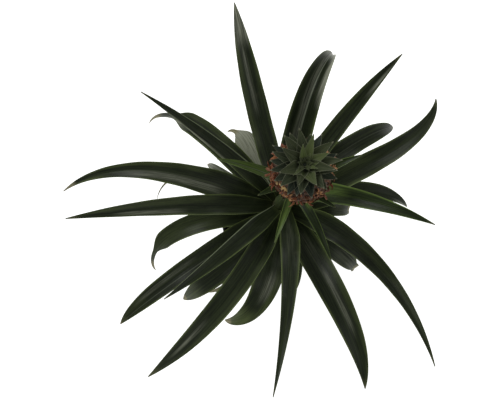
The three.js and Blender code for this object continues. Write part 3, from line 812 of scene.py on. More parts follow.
def fruit_finish():
    """Fruit skin: dull red eyes with dark grooves between them, and one golden eye."""
    golden = (0.62, 0.42, 0.17)
    tip_ochre = (0.2, 0.11, 0.06)
    groove_dark = (0.02, 0.014, 0.008)
    speckle_tan = (0.3, 0.2, 0.12)
    finish = Finish("fruit_eye_skin")
    place = finish.place()
    centre = finish.attribute("centre")
    mottle = finish.noise(place, 240, 4.0, 0.6)
    speckle = finish.noise(place, 1200, 3.0, 0.6)
    eye = finish.mottled(mottle, (0.045, 0.017, 0.008), (0.1, 0.042, 0.016))
    eye = finish.mix(finish.attribute("golden"), eye, golden)
    middle = finish.maths("ADD", centre, finish.product(mottle, 0.3))
    eye = finish.laid(eye, tip_ochre, middle, 0.55, 1.1, 0.5)
    eye = finish.laid(eye, groove_dark, centre, 0.3, 0.02)
    eye = finish.laid(eye, speckle_tan, speckle, 0.6, 0.75, 0.15)
    return finish.shade(
        Base_Color=eye,
        Roughness=finish.band(mottle, 0.3, 0.7, 0.42, 0.62),
        Normal=finish.bump(speckle, 0.0004, 0.4, finish.bump(mottle, 0.001, 0.4)),
        Specular_IOR_Level=0.15,
    )


def bract_finish():
    """Papery scale in front of each eye: dull red to olive, with a browner dry edge and point."""
    olive = (0.04, 0.028, 0.012)
    dry_brown = (0.036, 0.018, 0.007)
    scurf_tan = (0.09, 0.05, 0.022)
    finish = Finish("papery_bract")
    along = finish.attribute("along")
    side = finish.maths("ABSOLUTE", finish.attribute("across"))
    tint = finish.attribute("tint")
    lane = finish.vector(finish.attribute("across"), finish.product(along, 0.25), tint)
    veins = finish.noise(lane, 9.0, 3.0)
    scurf = finish.noise(finish.place(), 650, 5.0, 0.7)
    red = finish.mottled(veins, (0.009, 0.004, 0.002), (0.03, 0.011, 0.005))
    red = finish.laid(red, olive, tint, 0.2, 0.9, 0.7)
    dry = finish.maths("MAXIMUM", finish.band(along, 0.55, 0.95), finish.band(side, 0.6, 1.0, 0, 0.8))
    colour = finish.mix(dry, red, dry_brown)
    return finish.shade(
        Base_Color=finish.laid(colour, scurf_tan, scurf, 0.55, 0.7, 0.5),
        Roughness=finish.band(veins, 0.3, 0.7, 0.5, 0.75),
        Normal=finish.bump(scurf, 0.0006, 0.5, finish.bump(veins, 0.0006, 0.6)),
        Specular_IOR_Level=0.1,
    )


def flower_finish():
    """Withered petals: orange brown, rosy and dark red, from flower to flower, with painted crinkle
    highlights.
    """
    tan = (0.46, 0.24, 0.1)
    orange_brown = (0.28, 0.1, 0.038)
    rosy = (0.16, 0.042, 0.017)
    dark_red = (0.06, 0.016, 0.008)
    crinkle_highlight = (0.45, 0.27, 0.14)
    foot_dark = (0.035, 0.01, 0.007)
    tip_dark = (0.09, 0.032, 0.014)
    finish = Finish("withered_petal")
    tint = finish.attribute("tint")
    along = finish.attribute("along")
    crinkle = finish.noise(finish.place(), 900, 4.0, 0.6)
    colour = finish.laid(tan, orange_brown, tint, 0.0, 0.35)
    colour = finish.laid(colour, rosy, tint, 0.35, 0.5)
    colour = finish.laid(colour, dark_red, tint, 0.7, 0.95)
    # Painted highlights on the petals' crinkles
    colour = finish.laid(colour, crinkle_highlight, crinkle, 0.48, 0.68, 0.7)
    colour = finish.laid(colour, foot_dark, along, 0.45, 0.1, 0.85)
    colour = finish.laid(colour, tip_dark, along, 0.75, 1.0, 0.6)
    return finish.shade(
        Base_Color=colour,
        Roughness=finish.band(crinkle, 0.3, 0.7, 0.5, 0.8),
        Normal=finish.bump(crinkle, 0.0006, 0.6),
        Specular_IOR_Level=0.15,
    )


def crown_finish():
    """Crown leaf: dark teal outside, grey green, yellower in the young middle, pale margins and point,
    painted shade towards the roots.
    """
    olive = (0.09, 0.11, 0.04)
    scurf_grey = (0.2, 0.22, 0.17)
    margin_cream = (0.25, 0.265, 0.17)
    keel_green = (0.16, 0.19, 0.1)
    point_straw = (0.32, 0.31, 0.21)
    root_shade = (0.012, 0.02, 0.01)
    under_grey = (0.13, 0.15, 0.12)
    finish = Finish("crown_leaf_skin")
    along = finish.attribute("along")
    across = finish.attribute("across")
    side = finish.maths("ABSOLUTE", across)
    tone = finish.attribute("tone")
    tint = finish.attribute("tint")
    lane = finish.vector(across, finish.product(along, 0.25), finish.product(tint, 40.0))
    veins = finish.noise(lane, 6.0, 3.0, 0.6)
    scurf = finish.noise(finish.place(), 900, 4.0, 0.7)
    old = finish.mottled(veins, (0.012, 0.021, 0.015), (0.03, 0.041, 0.028))
    grey = finish.mottled(veins, (0.033, 0.044, 0.019), (0.072, 0.087, 0.039))
    fresh = finish.mottled(veins, (0.09, 0.13, 0.036), (0.17, 0.21, 0.08))
    green = finish.laid(old, grey, tone, 0.0, 0.5)
    green = finish.laid(green, fresh, tone, 0.5, 1.0)
    green = finish.laid(green, olive, tint, 0.5, 1.0, 0.2)
    green = finish.laid(green, scurf_grey, scurf, 0.5, 0.75, 0.25)
    green = finish.laid(green, margin_cream, side, 0.84, 0.98, 0.6)
    green = finish.laid(green, keel_green, side, 0.12, 0.0, 0.15)
    green = finish.laid(green, point_straw, along, 0.9, 1.0, 0.65)
    # Painted shade towards each leaf's root, deep in the crown's heart
    green = finish.laid(green, root_shade, along, 0.3, 0.0, 0.6)
    return finish.shade(
        Base_Color=finish.mix(finish.product(finish.attribute("under"), 0.7), green, under_grey),
        Roughness=finish.band(scurf, 0.3, 0.7, 0.45, 0.65),
        Normal=finish.bump(scurf, 0.0003, 0.3, finish.bump(veins, 0.0005, 0.4)),
        Specular_IOR_Level=0.2,
    )


def floor_finish():
    """Plain pale studio floor, bright by itself so that it stays even under the plant."""
    finish = Finish("studio_floor")
    faint = finish.noise(finish.place(), 3.0, 2.0)
    return finish.shade(
        Base_Color=finish.mix(faint, (0.93, 0.93, 0.93), (0.95, 0.95, 0.95)),
        Roughness=0.9,
        Emission_Color=(1, 1, 1),
        Emission_Strength=0.85,
    )


# Long leaves


def half_width(leaf, share):
    """Half width of a blade at a share of its length: a narrowed root, then a taper to the point."""
    full = leaf["width"] / 2
    root = full * lerp(BLADE_ROOT_SHARE, 1, smooth_step(share / BLADE_WIDEST))
    beyond = max(0, (share - BLADE_WIDEST) / (1 - BLADE_WIDEST))
    outer = BLADE_TIP_HALF + (full - BLADE_TIP_HALF) * (1 - beyond ** leaf.get("taper", BLADE_TAPER))
    half = root if share < BLADE_WIDEST else outer
    if "wisp" in leaf:
        half *= lerp(1, WISP_SHARE, smooth_step((share - leaf["wisp"]) / WISP_LENGTH))
    return half


def patch_on(patches, share, across):
    """Strength at a place on a blade of patches as (from, to, place across, half width, strength)."""
    soft = 0.12
    beyond = 0.3
    strength = 0.0
    for start, end, middle, half, most in patches:
        first = start - beyond if start == 0 else start
        last = end + beyond if end >= 1 else end
        part = window(share, first, last, soft) * smooth_step(1.25 * (1 - abs(across - middle) / half))
        strength = max(strength, most * part)
    return strength


def blade_rows(leaf, steps):
    """Point, left and up of the blade's midline at even steps, and the stem's middle and radius."""
    def bearing_at(share):
        return leaf["bearing"] + leaf["bend"] * share ** leaf.get("turn", BLADE_TURN)

    def slope_at(share):
        return math.radians(lerp(leaf["rise"], leaf["droop"], share ** leaf.get("ease", BLADE_EASE)))

    def way_at(share):
        return compass(bearing_at(share)) * math.cos(slope_at(share)) + UP * math.sin(slope_at(share))

    hub, radius = stem_at(leaf["seat"])
    chord = half_width(leaf, 0) / 2
    start = radius + SEAT_GAP + chord ** 2 / (8 * radius) + BLADE_MIDDLE / 2 * math.sin(slope_at(0))
    point = hub + start * compass(leaf["bearing"])
    step = (leaf["length"] - BLADE_TIP_BACK) / steps
    rows = []
    for index in range(steps + 1):
        share = index / steps
        left = compass(bearing_at(share) + 90)
        rows.append((share, point, left, np.cross(way_at(share), left)))
        point = point + step * way_at(min(1, share + 0.5 / steps))
    return rows, hub, radius


def leaf_values(look, length, share, across, offset, under):
    """The numbers of LEAF_VALUES at a place on a blade."""
    dry = 0
    if "dry" in look:
        dry = smooth_step((share - look["dry"]) / (DRY_END - look["dry"]) * DRY_SPEED)
    # Bloom together with painted sheen, on the upper face only
    bloom = 0 if under else patch_on(look.get("bloom", ()), share, across)
    pale = patch_on(look.get("pale", ()), share, across)
    # The fold's painted highlight, and the side on which its painted shade lies
    line, strength, shaded_side = look.get("line", NO_LINE)
    if under:
        strength = 0
    strength *= smooth_step((1 - LINE_FADE - share) / LINE_FADE)
    off_line = (across - line) * shaded_side
    return share, across, share * length, offset, under, dry, bloom, pale, off_line, strength


def make_blade(name, leaf, material, slot, seed):
    """One cupped blade with wavy margins: round the stem at its root, opened out further along."""
    look = LEAF_LOOKS.get(name, {})
    random = np.random.default_rng(seed)
    tint = random.random()
    phases = random.random(2) * 2 * np.pi
    wavelength = lerp(*BLADE_WAVELENGTHS, random.random())
    twist = math.radians(lerp(*BLADE_TWISTS, random.random()))
    tears = random.random(BLADE_COLUMNS)
    length = leaf["length"]
    fold = look.get("fold", BLADE_CUP)
    rows, hub, radius = blade_rows(leaf, max(BLADE_LEAST_STEPS, round(length / BLADE_STEP)))
    points = [rows[0][1]]
    values = [(0,) * len(LEAF_VALUES)]
    for share, middle, left, up in rows:
        left, up = turned(left, up, twist * share)
        along = np.cross(left, up)
        arm = (middle - hub) * (1, 1, 0)
        reach = np.linalg.norm(arm)
        opening = smooth_step((reach - OPENING_FROM * radius) / (OPENING_OVER * radius))
        curve = (1 - opening) / reach + 1e-6
        half = half_width(leaf, share)
        torn = 0.0
        if "stub" in look:
            half = max(half, look["stub"])
            torn = TEAR_DEPTH * smooth_step((share - TEAR_FROM) / (1 - TEAR_FROM))
        right_wave, left_wave = np.sin(2 * np.pi * share * length / wavelength + phases)
        for (under, places), notches in zip(both_faces(BLADE_COLUMNS), (tears, tears[::-1])):
            for across, notch in zip(places, notches):
                offset = across * half
                wave = left_wave if across > 0 else right_wave
                lift = fold * half * opening * abs(across) ** BLADE_CUP_POWER
                lift += BLADE_WAVE * half * opening * wave * across ** 2
                depth = lerp(BLADE_MIDDLE, BLADE_EDGE, max(abs(across), share ** 3)) / 2
                points.append(
                    middle
                    + left * math.sin(curve * offset) / curve
                    - arm / reach * (1 - math.cos(curve * offset)) / curve
                    + up * (lift + (-depth if under else depth))
                    - along * notch * torn
                )
                values.append(leaf_values(look, length, share, across, offset, under))
    points.append(rows[-1][1])
    values.append(leaf_values(look, length, 1, 0, 0, 0))
    floats = by_name(LEAF_VALUES, values)
    floats["tint"] = np.full(len(points), tint)
    faces = loft_faces(len(rows), 2 * BLADE_COLUMNS)
    piece = make_object(f"{name}_blade", points, faces, [material], floats, sharp=60)
    declare(piece, slot, name)


def make_leaves():
    long_leaf = leaf_finish("long_leaf_skin", *LONG_LEAF_GREENS)
    stalk_leaf = leaf_finish("stalk_leaf_skin", *STALK_LEAF_GREENS)
    for number, (tier, leaves) in enumerate(LEAVES.items()):
        on_stalk = tier == "stalk_leaf"
        material = stalk_leaf if on_stalk else long_leaf
        slot = "stalk_leaf" if on_stalk else "leaf"
        for index, leaf in enumerate(leaves):
            make_blade(f"{tier}_{index + 1:02d}", leaf, material, slot, 10 * number + index)


# Stem


def make_stem():
    """Fluted stalk with a slight swelling under each leaf's seat."""
    seats = [leaf["seat"] for leaves in LEAVES.values() for leaf in leaves]
    foot = STEM_RINGS[0][0]
    head = STEM_RINGS[-1][0]
    heights = np.linspace(foot, head, round((head - foot) / STEM_STEP))
    angles = 2 * np.pi * np.arange(STEM_SIDES) / STEM_SIDES
    flutes = STEM_FLUTE_DEPTH * np.cos(STEM_FLUTES * angles)
    points = [stem_at(foot)[0]]
    for z in heights:
        middle, radius = stem_at(z)
        swelling = sum(math.exp(-((z - seat + SCAR_DROP) / SCAR_SPREAD) ** 2) for seat in seats)
        grown = radius - STEM_SKIN_BACK + SCAR_RISE * min(1, swelling) + flutes
        ring = np.column_stack((grown * np.cos(angles), grown * np.sin(angles), np.zeros(STEM_SIDES)))
        points.extend(middle + ring)
    points.append(stem_at(head)[0])
    piece = make_object("stem_stalk", points, loft_faces(len(heights), STEM_SIDES), [stem_finish()])
    declare(piece, "stem", "stem")


# Fruit


def fruit_radius(share):
    return FRUIT_RADIUS * np.sin(np.pi * lerp(FRUIT_FROM, FRUIT_TO, share)) ** FRUIT_BLUNTNESS


def on_fruit(row, half_steps, rise, lift=0.0):
    """Point over the fruit's skin, at a row of eyes and half steps round it."""
    share = row / EYE_ROWS
    turn = 180 * half_steps / EYES_AROUND + ROW_TURN * row
    return FRUIT_BASE + compass(turn) * (fruit_radius(share) + rise) + UP * (FRUIT_HEIGHT * share + lift)


def eye_centre(row, half):
    """1 in the middle of an eye and 0 in the grooves round it."""
    first = (row + half) / 2
    second = (row - half) / 2
    off_first = abs(2 * (first - round(first))) ** EYE_OUTLINE_POWER
    off_second = abs(2 * (second - round(second))) ** EYE_OUTLINE_POWER
    away = (off_first + off_second) ** (1 / EYE_OUTLINE_POWER)
    on_skin = 1 <= round(first) + round(second) < EYE_ROWS
    return max(0.0, 1 - away) if on_skin else 0.0


def make_fruit_skin():
    columns = 2 * EYES_AROUND * FRUIT_COLUMNS_PER_HALF
    rings = EYE_ROWS * FRUIT_STEPS_PER_ROW + 1
    points = [FRUIT_BASE]
    values = [(0, 0)]
    for ring in range(rings):
        row = ring / FRUIT_STEPS_PER_ROW
        for column in range(columns):
            half = column / FRUIT_COLUMNS_PER_HALF
            middle = eye_centre(row, half)
            rise = EYE_RISE * (1 - (1 - middle) ** 3) + EYE_POINT * smooth_step((middle - 0.55) / 0.45)
            points.append(on_fruit(row, half, rise, EYE_POINT_LIFT * smooth_step((middle - 0.5) / 0.5)))
            from_golden = max(abs(row - GOLDEN_EYE[0]), abs(half - GOLDEN_EYE[1]))
            values.append((middle, smooth_step((GOLDEN_REACH - from_golden) / GOLDEN_SOFT)))
    points.append(FRUIT_BASE + UP * FRUIT_HEIGHT)
    values.append((0, 0))
    floats = by_name(("centre", "golden"), values)
    piece = make_object("fruit_skin", points, loft_faces(rings, columns), [fruit_finish()], floats, sharp=70)
    declare(piece, "fruit_skin", "fruit")


def scale_shape():
    """One papery scale that starts flat on the fruit and lifts its point off it."""
    points = [np.zeros(3)]
    values = [(0, 0)]
    for step in range(SHAPE_STEPS + 1):
        share = step / SHAPE_STEPS
        half = SCALE_HALF_WIDTH * (1 - share ** 1.7) * lerp(0.75, 1, smooth_step(share * 3)) + 0.08
        ahead = SHAPE_LENGTH * share - SCALE_TIP_BACK * share ** 3
        hump = SCALE_HUMP * math.sin(math.pi * min(1, share * 1.15))
        for under, places in both_faces(SHAPE_COLUMNS):
            thick = -SCALE_HALF_THICKNESS if under else SCALE_HALF_THICKNESS
            for across in places:
                rise = SCALE_REST + hump * (1 - across ** 2) + SCALE_TIP_LIFT * share ** 3
                points.append(np.array((across * half, ahead, rise + thick)))
                values.append((share, across))
    points.append(points[-SHAPE_COLUMNS])
    values.append((1, 0))
    faces = loft_faces(SHAPE_STEPS + 1, 2 * SHAPE_COLUMNS)
    return make_object("scale_shape", points, faces, [], by_name(("along", "across"), values))


def make_bracts(tree):
    shape = scale_shape()
    random = np.random.default_rng(SCALE_SEED)
    places = []
    for row in range(1, EYE_ROWS):
        for half in range(row % 2, 2 * EYES_AROUND, 2):
            if (row, half) == GOLDEN_EYE:
                continue
            low = on_fruit(row + SCALE_FOOT[0], half, SCALE_FOOT[1])
            high = on_fruit(row + SCALE_POINT[0], half, SCALE_POINT[1])
            ahead = unit(high - low)
            right = unit(np.cross(ahead, unit((low - FRUIT_BASE) * (1, 1, 0))))
            out = np.cross(right, ahead)
            size = np.linalg.norm(high - low) / SHAPE_LENGTH * lerp(*SCALE_SIZES, random.random())
            places.append((low, right, ahead, out, size, random.random()))
    piece = place_on_points("fruit_bracts", places, shape, tree, bract_finish())
    bpy.data.objects.remove(shape)
    declare(piece, "fruit_skin")


def petal_shape(curl, twist):
    """One withered petal that leaves the fruit along Z and curls over towards Y."""
    side = np.array((1.0, 0.0, 0.0))
    point = np.zeros(3)
    points = [point]
    shares = [0]
    for step in range(SHAPE_STEPS + 1):
        share = step / SHAPE_STEPS
        slope = math.radians(curl * share ** 1.4)
        along = np.array((0.0, math.sin(slope), math.cos(slope)))
        wide = lerp(*PETAL_HALF_WIDTHS, math.sin(math.pi * share ** 1.3)) * (1 - 0.75 * share ** 4)
        thin = lerp(*PETAL_HALF_THICKNESSES, share)
        left, up = turned(side, np.cross(along, side), math.radians(twist * share))
        for corner in range(SHAPE_COLUMNS):
            angle = 2 * math.pi * corner / SHAPE_COLUMNS
            hollow = PETAL_HOLLOW * wide * math.cos(angle) ** 2
            points.append(point + left * wide * math.cos(angle) + up * (thin * math.sin(angle) + hollow))
            shares.append(share)
        if step < SHAPE_STEPS:
            point = point + along * SHAPE_LENGTH / SHAPE_STEPS
    points.append(point + along * 0.3)
    shares.append(1)
    faces = loft_faces(SHAPE_STEPS + 1, SHAPE_COLUMNS)
    return make_object("petal_shape", points, faces, [], {"along": shares})


def flower_places():
    """Where each petal stands, spread round its flower's own lean."""
    random = seeded(FLOWER_SEED)
    extra = np.random.default_rng(PETAL_SEED)
    places = []
    for row in FLOWER_ROWS:
        for half in range(row % 2, 2 * EYES_AROUND, 2):
            if next(random) >= FLOWER_CHANCE:
                continue
            # Each flower takes five numbers, of which the fourth isn't used
            shift, length, sway, _, slope = (next(random) for _ in range(5))
            root = on_fruit(row - FLOWER_DROP, half + FLOWER_SHIFT * shift, -FLOWER_ROOT)
            size = lerp(*FLOWER_LENGTHS, length) / SHAPE_LENGTH
            sway = math.radians(lerp(*FLOWER_SWAYS, sway))
            slope = math.radians(lerp(*FLOWER_SLOPES, slope))
            flat = unit((root - FRUIT_BASE) * (1, 1, 0))
            aside = np.cross(UP, flat) * math.sin(sway) * 0.5
            straight = unit(flat * math.cos(slope) + UP * math.sin(slope) + aside)
            right = unit(np.cross(UP, straight))
            above = np.cross(straight, right)
            tint = extra.random()
            for index in range(PETALS):
                spin = 2 * math.pi * (index + PETAL_UNEVENNESS * extra.random()) / PETALS
                spread = right * math.cos(spin) + above * math.sin(spin)
                out = unit(straight + lerp(*PETAL_LEANS, extra.random()) * spread)
                ahead = unit(spread - out * np.dot(spread, out))
                foot = root + lerp(*PETAL_FEET, extra.random()) * spread
                tone = min(1, max(0, tint + lerp(*PETAL_TONES, extra.random())))
                petal_size = size * lerp(*PETAL_SIZES, extra.random())
                places.append((foot, np.cross(ahead, out), ahead, out, petal_size, tone))
    return places


def make_flowers(tree):
    material = flower_finish()
    places = flower_places()
    for index, (curl, twist) in enumerate(PETAL_CURLS):
        shape = petal_shape(curl, twist)
        mine = places[index::len(PETAL_CURLS)]
        piece = place_on_points(f"withered_flowers_{index + 1}", mine, shape, tree, material)
        bpy.data.objects.remove(shape)
        declare(piece, "fruit_skin")


# Crown


def crown_leaf(bearing, length, half, form, tone, draws):
    """Points, faces and values of one keeled, finely toothed leaf on the crown's core."""
    tint, curl, sway = draws
    outward = compass(bearing)
    aside = np.cross(UP, outward) * lerp(*CROWN_SWAYS, sway)
    curl = lerp(*CROWN_TIP_CURLS, curl)
    point = CROWN_BASE + outward * form["out"] + UP * form["seat"]
    points = [point]
    values = [(0, 0, 0, tone, tint)]
    for step in range(CROWN_LEAF_STEPS + 1):
        share = step / CROWN_LEAF_STEPS
        slope = math.radians(form["rise"] - form["sag"] * share + curl * share ** 4)
        along = unit(outward * math.cos(slope) + UP * math.sin(slope) + aside * share)
        left = unit(np.cross(UP, along))
        up = np.cross(along, left)
        wide = half * (1 - share ** form["fill"]) * lerp(0.7, 1, smooth_step(share * 3))
        wide = max(CROWN_LEAF_LEAST_HALF, wide)
        tooth = CROWN_TOOTH * (step % 2) * min(1, wide)
        for under, places in both_faces(CROWN_LEAF_COLUMNS):
            for across in places:
                hollow = CROWN_LEAF_HOLLOW * wide * abs(across) ** 1.2
                depth = lerp(*CROWN_LEAF_HALF_THICKNESSES, abs(across)) * (1 - 0.7 * share)
                offset = across * (wide + tooth * (abs(across) > 0.99))
                points.append(point + left * offset + up * (hollow + (-depth if under else depth)))
                values.append((share, across, under, tone, tint))
        if step < CROWN_LEAF_STEPS:
            point = point + along * length / CROWN_LEAF_STEPS
    points.append(point)
    values.append((1, 0, 0, tone, tint))
    return points, loft_faces(CROWN_LEAF_STEPS + 1, 2 * CROWN_LEAF_COLUMNS), values


def crown_leaves():
    """Every leaf of the crown, from the outer ranks to the curled ones in its heart."""
    random = seeded(CROWN_SEED)
    for form, leaves in zip(CROWN_RANKS, CROWN_LEAVES):
        middle_slope = math.radians(form["rise"] - form["sag"] / 2)
        for bearing, reach, width, tone in leaves:
            length = (reach - form["out"]) / math.cos(middle_slope)
            draws = (next(random), next(random), next(random))
            yield crown_leaf(bearing, length, width / 2, form, tone, draws)
    spread = seeded(HEART_SEED)
    for form in HEART_RANKS:
        for index in range(form["count"]):
            bearing = 360 * (index + 0.5 * next(spread)) / form["count"]
            length = form["length"] * lerp(*HEART_LENGTHS, next(spread))
            draws = (next(random), 0.5, next(random))
            yield crown_leaf(bearing, length, form["width"] / 2, form, HEART_TONE, draws)


def make_crown():
    material = crown_finish()
    leaves = list(crown_leaves())
    points, faces = join_shells(leaf[:2] for leaf in leaves)
    floats = by_name(CROWN_VALUES, [row for leaf in leaves for row in leaf[2]])
    piece = make_object("crown_leaves", points, faces, [material], floats)
    declare(piece, "crown_leaf", "crown")
    profile = (
        (0, 0),
        (CROWN_CORE_RADIUS - 1, 0),
        (CROWN_CORE_RADIUS, 1),
        (CROWN_CORE_RADIUS, CROWN_CORE_HEIGHT - 6),
        (CROWN_CORE_TOP_RADIUS + 1, CROWN_CORE_HEIGHT - 2),
        (CROWN_CORE_TOP_RADIUS - 1, CROWN_CORE_HEIGHT - 0.6),
        (2, CROWN_CORE_HEIGHT - 0.1),
        (0, CROWN_CORE_HEIGHT),
    )
    points = np.array(turned_points(profile, CROWN_CORE_SIDES)) + CROWN_BASE
    faces = loft_faces(len(profile) - 2, CROWN_CORE_SIDES)
    # All values 0, so the core takes the painted shade of the leaves' roots
    floats = by_name(CROWN_VALUES, np.zeros((len(points), len(CROWN_VALUES))))
    core = make_object("crown_core", points, faces, [material], floats)
    declare(core, "crown_leaf")


# Pot and soil


def pot_profile():
    """Radius and height from the middle of the underside, over the rim, to the middle of the floor."""
    band_foot = POT_HEIGHT - POT_RIM_BAND
    neck = POT_NECK_RADIUS
    rim = POT_RIM_RADIUS
    foot = POT_FOOT_RADIUS
    underside = ((0, 0), (foot - 3, 0), (foot - 1.2, 0), (foot - 0.4, 0.4), (foot, 1.4), (foot + 0.5, 5))
    wall = ((neck - 0.4, band_foot - 3), (neck, band_foot - 0.4), (neck + 0.5, band_foot))
    band = (
        (rim - 1.3, band_foot), (rim - 0.7, band_foot + 0.6), (rim - 0.4, band_foot + 2),
        (rim - 0.1, POT_HEIGHT - 2),
    )
    lip = (
        (rim, POT_HEIGHT - 1), (rim - 0.3, POT_HEIGHT - 0.3), (rim - 0.9, POT_HEIGHT),
        (rim - 1.9, POT_HEIGHT), (rim - 2.4, POT_HEIGHT - 0.4), (rim - 2.6, POT_HEIGHT - 1.2),
    )
    inside = (
        (neck - POT_WALL + 0.4, band_foot + 1), (neck - POT_WALL, band_foot - POT_WALL),
        (foot - POT_WALL, POT_FLOOR + 1), (foot - POT_WALL - 1, POT_FLOOR), (0, POT_FLOOR),
    )
    return underside + wall + band + lip + inside


def drain_cutter():
    """A ring of short rods through the pot's floor."""
    profile = ((0, -2), (DRAIN_RADIUS, -2), (DRAIN_RADIUS, POT_FLOOR + 2), (0, POT_FLOOR + 2))
    rod = np.array(turned_points(profile, DRAIN_SIDES))
    bearings = [360 * (index + 0.5) / DRAIN_COUNT for index in range(DRAIN_COUNT)]
    rods = [(rod + compass(bearing) * DRAIN_RING_RADIUS, loft_faces(2, DRAIN_SIDES)) for bearing in bearings]
    points, faces = join_shells(rods)
    return make_object("drain_cutter", points, faces, [])


def make_pot():
    profile = pot_profile()
    faces = loft_faces(len(profile) - 2, POT_SIDES)
    material = pot_finish()
    pot = make_object("nursery_pot", turned_points(profile, POT_SIDES), faces, [material])
    cutter = drain_cutter()
    cut = pot.modifiers.new("drains", "BOOLEAN")
    cut.object = cutter
    cut.solver = "EXACT"
    bake(pot, material, sharp=35)
    bpy.data.objects.remove(cutter)
    declare(pot, "pot_plastic", "pot")


def crumb_tree():
    """Strews crumbs of one material over the upward faces of a surface, and keeps the surface."""
    layout = Layout("strew_crumbs", {
        "Geometry": "Geometry", "Finish": "Material", "Density": "Float", "Smallest": "Float",
        "Largest": "Float", "Crumb Radius": "Float", "Seed": "Int",
    })
    given = layout.given
    full_turn = (math.tau, math.tau, math.tau)
    least_shape, largest_shape = CRUMB_SHAPES
    normal = layout.node("GeometryNodeInputNormal")
    parts = layout.node("ShaderNodeSeparateXYZ", {0: normal.outputs[0]})
    upward = layout.node("FunctionNodeCompare", {0: parts.outputs[2], 1: 0.6}, operation="GREATER_THAN")
    strewn = layout.node("GeometryNodeDistributePointsOnFaces", {
        "Mesh": given["Geometry"],
        "Selection": upward.outputs[0],
        "Density": given["Density"],
        "Seed": given["Seed"],
    })
    crumb = layout.node("GeometryNodeMeshIcoSphere", {"Radius": given["Crumb Radius"], "Subdivisions": 2})
    turn = layout.node("FunctionNodeRandomValue", {"Max": full_turn}, data_type="FLOAT_VECTOR")
    sizes = {2: given["Smallest"], 3: given["Largest"], "Seed": given["Seed"]}
    size = layout.node("FunctionNodeRandomValue", sizes)
    stretches = {"Min": least_shape, "Max": largest_shape}
    stretch = layout.node("FunctionNodeRandomValue", stretches, data_type="FLOAT_VECTOR")
    factors = {0: stretch.outputs[0], "Scale": size.outputs[1]}
    scale = layout.node("ShaderNodeVectorMath", factors, operation="SCALE")
    placed = layout.node("GeometryNodeInstanceOnPoints", {
        "Points": strewn.outputs["Points"],
        "Instance": crumb.outputs["Mesh"],
        "Rotation": turn.outputs[0],
        "Scale": scale.outputs[0],
    })
    real = layout.node("GeometryNodeRealizeInstances", {"Geometry": placed.outputs["Instances"]})
    field = layout.node("ShaderNodeTexNoise", {"Scale": 700})
    halves = {0: field.outputs["Color"], 1: (0.5, 0.5, 0.5)}
    centred = layout.node("ShaderNodeVectorMath", halves, operation="SUBTRACT")
    pushes = {0: centred.outputs[0], "Scale": CRUMB_ROUGHNESS * MM}
    push = layout.node("ShaderNodeVectorMath", pushes, operation="SCALE")
    moved = {"Geometry": real.outputs["Geometry"], "Offset": push.outputs[0]}
    rumpled = layout.node("GeometryNodeSetPosition", moved)
    joined = layout.node("GeometryNodeJoinGeometry", {"Geometry": rumpled.outputs["Geometry"]})
    layout.put(joined.inputs["Geometry"], given["Geometry"])
    return layout.finished(joined.outputs["Geometry"])


def soil_points(profile, top):
    """Points of the soil, whose flat top is raised to low lumps and sinks towards the pot's wall."""
    points = turned_points(profile, SOIL_SIDES)
    random = np.random.default_rng(SOIL_SEED)
    lumps = random.random((SOIL_LUMPS, 3)) * (2 * top, 2 * top, 1) - (top, top, 0)
    for index in range(1 + 2 * SOIL_SIDES, len(points)):
        x, y, z = points[index]
        lump = sum(size * math.exp(-((x - u) ** 2 + (y - v) ** 2) / SOIL_LUMP_SPREAD) for u, v, size in lumps)
        edge = smooth_step((math.hypot(x, y) - SOIL_EDGE_FROM * top) / ((1 - SOIL_EDGE_FROM) * top))
        rise = SOIL_LUMP * (lump - SOIL_LUMP_MEAN) - SOIL_EDGE_DROP * edge + SOIL_GRAIN * random.random()
        points[index] = np.array((x, y, z + rise))
    return points


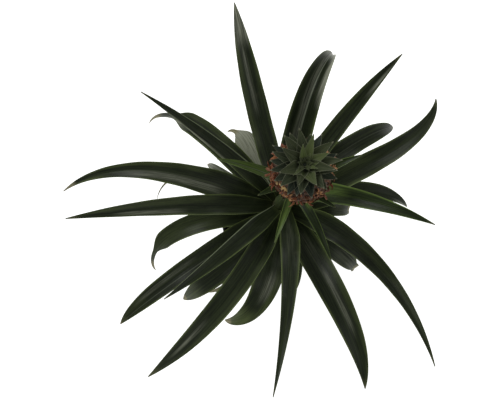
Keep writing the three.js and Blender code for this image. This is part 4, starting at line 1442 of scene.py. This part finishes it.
def make_soil():
    floor = POT_FLOOR + SEAT_GAP
    foot = POT_FOOT_RADIUS - POT_WALL - SOIL_CLEARANCE
    share = (SOIL_TOP - floor) / (POT_HEIGHT - POT_RIM_BAND)
    top = lerp(POT_FOOT_RADIUS, POT_NECK_RADIUS, share) - POT_WALL - 2 * SOIL_CLEARANCE
    profile = [(0, floor), (foot, floor), (top, SOIL_TOP - 3)]
    profile += [(top * (1 - index / SOIL_RINGS), SOIL_TOP) for index in range(SOIL_RINGS)]
    profile.append((0, SOIL_TOP))
    material = soil_finish()
    faces = loft_faces(len(profile) - 2, SOIL_SIDES)
    soil = make_object("potting_soil", soil_points(profile, top), faces, [material])
    modifier = soil.modifiers.new("crumbs", "NODES")
    modifier.node_group = crumb_tree()
    set_inputs(modifier, {
        "Finish": material,
        "Density": CRUMB_DENSITY,
        "Smallest": CRUMB_SIZES[0],
        "Largest": CRUMB_SIZES[1],
        "Crumb Radius": CRUMB_RADIUS * MM,
        "Seed": CRUMB_SEED,
    })
    bake(soil, material, sharp=60)
    declare(soil, "potting_soil", "soil")


# Floor, lights and camera


def make_floor():
    corners = ((-1, -1, 0), (1, -1, 0), (1, 1, 0), (-1, 1, 0))
    points = np.array(corners) * FLOOR_REACH
    floor = make_object("studio_floor", points, [(0, 1, 2, 3)], [floor_finish()])


def add_light(name, place, size, power):
    data = bpy.data.lights.new(name, "AREA")
    data.shape = "DISK"
    data.size = size
    data.energy = power
    lamp = bpy.data.objects.new(name, data)
    lamp.location = place
    lamp.rotation_euler = (Vector(LIGHTS_AIM) - Vector(place)).to_track_quat("-Z", "Y").to_euler()
    bpy.context.scene.collection.objects.link(lamp)


def make_lights():
    add_light("soft_key", place=(-1.3, 1.5, 2.4), size=1.4, power=27.5)
    add_light("soft_fill", place=(1.8, -0.6, 2.2), size=2.0, power=8.5)
    world = bpy.data.worlds.new("studio")
    bpy.context.scene.world = world
    world.use_nodes = True
    background = world.node_tree.nodes["Background"]
    background.inputs["Color"].default_value = (1, 1, 1, 1)
    background.inputs["Strength"].default_value = SKY_STRENGTH


def make_camera():
    """Looks down at 82 degrees above the horizon, with the pot's rim right of the picture's middle."""
    data = bpy.data.cameras.new("camera")
    data.sensor_width = CAMERA_SENSOR
    data.lens = CAMERA_LENS
    camera = bpy.data.objects.new("camera", data)
    camera.location = CAMERA_PLACE
    camera.rotation_euler = (math.radians(CAMERA_TILT), 0, 0)
    bpy.context.scene.collection.objects.link(camera)
    bpy.context.scene.camera = camera


bpy.context.scene.view_settings.view_transform = "Standard"
make_camera()
make_lights()
make_floor()
make_pot()
make_soil()
make_stem()
make_leaves()
make_fruit_skin()
placing = placing_tree()
make_bracts(placing)
make_flowers(placing)
make_crown()
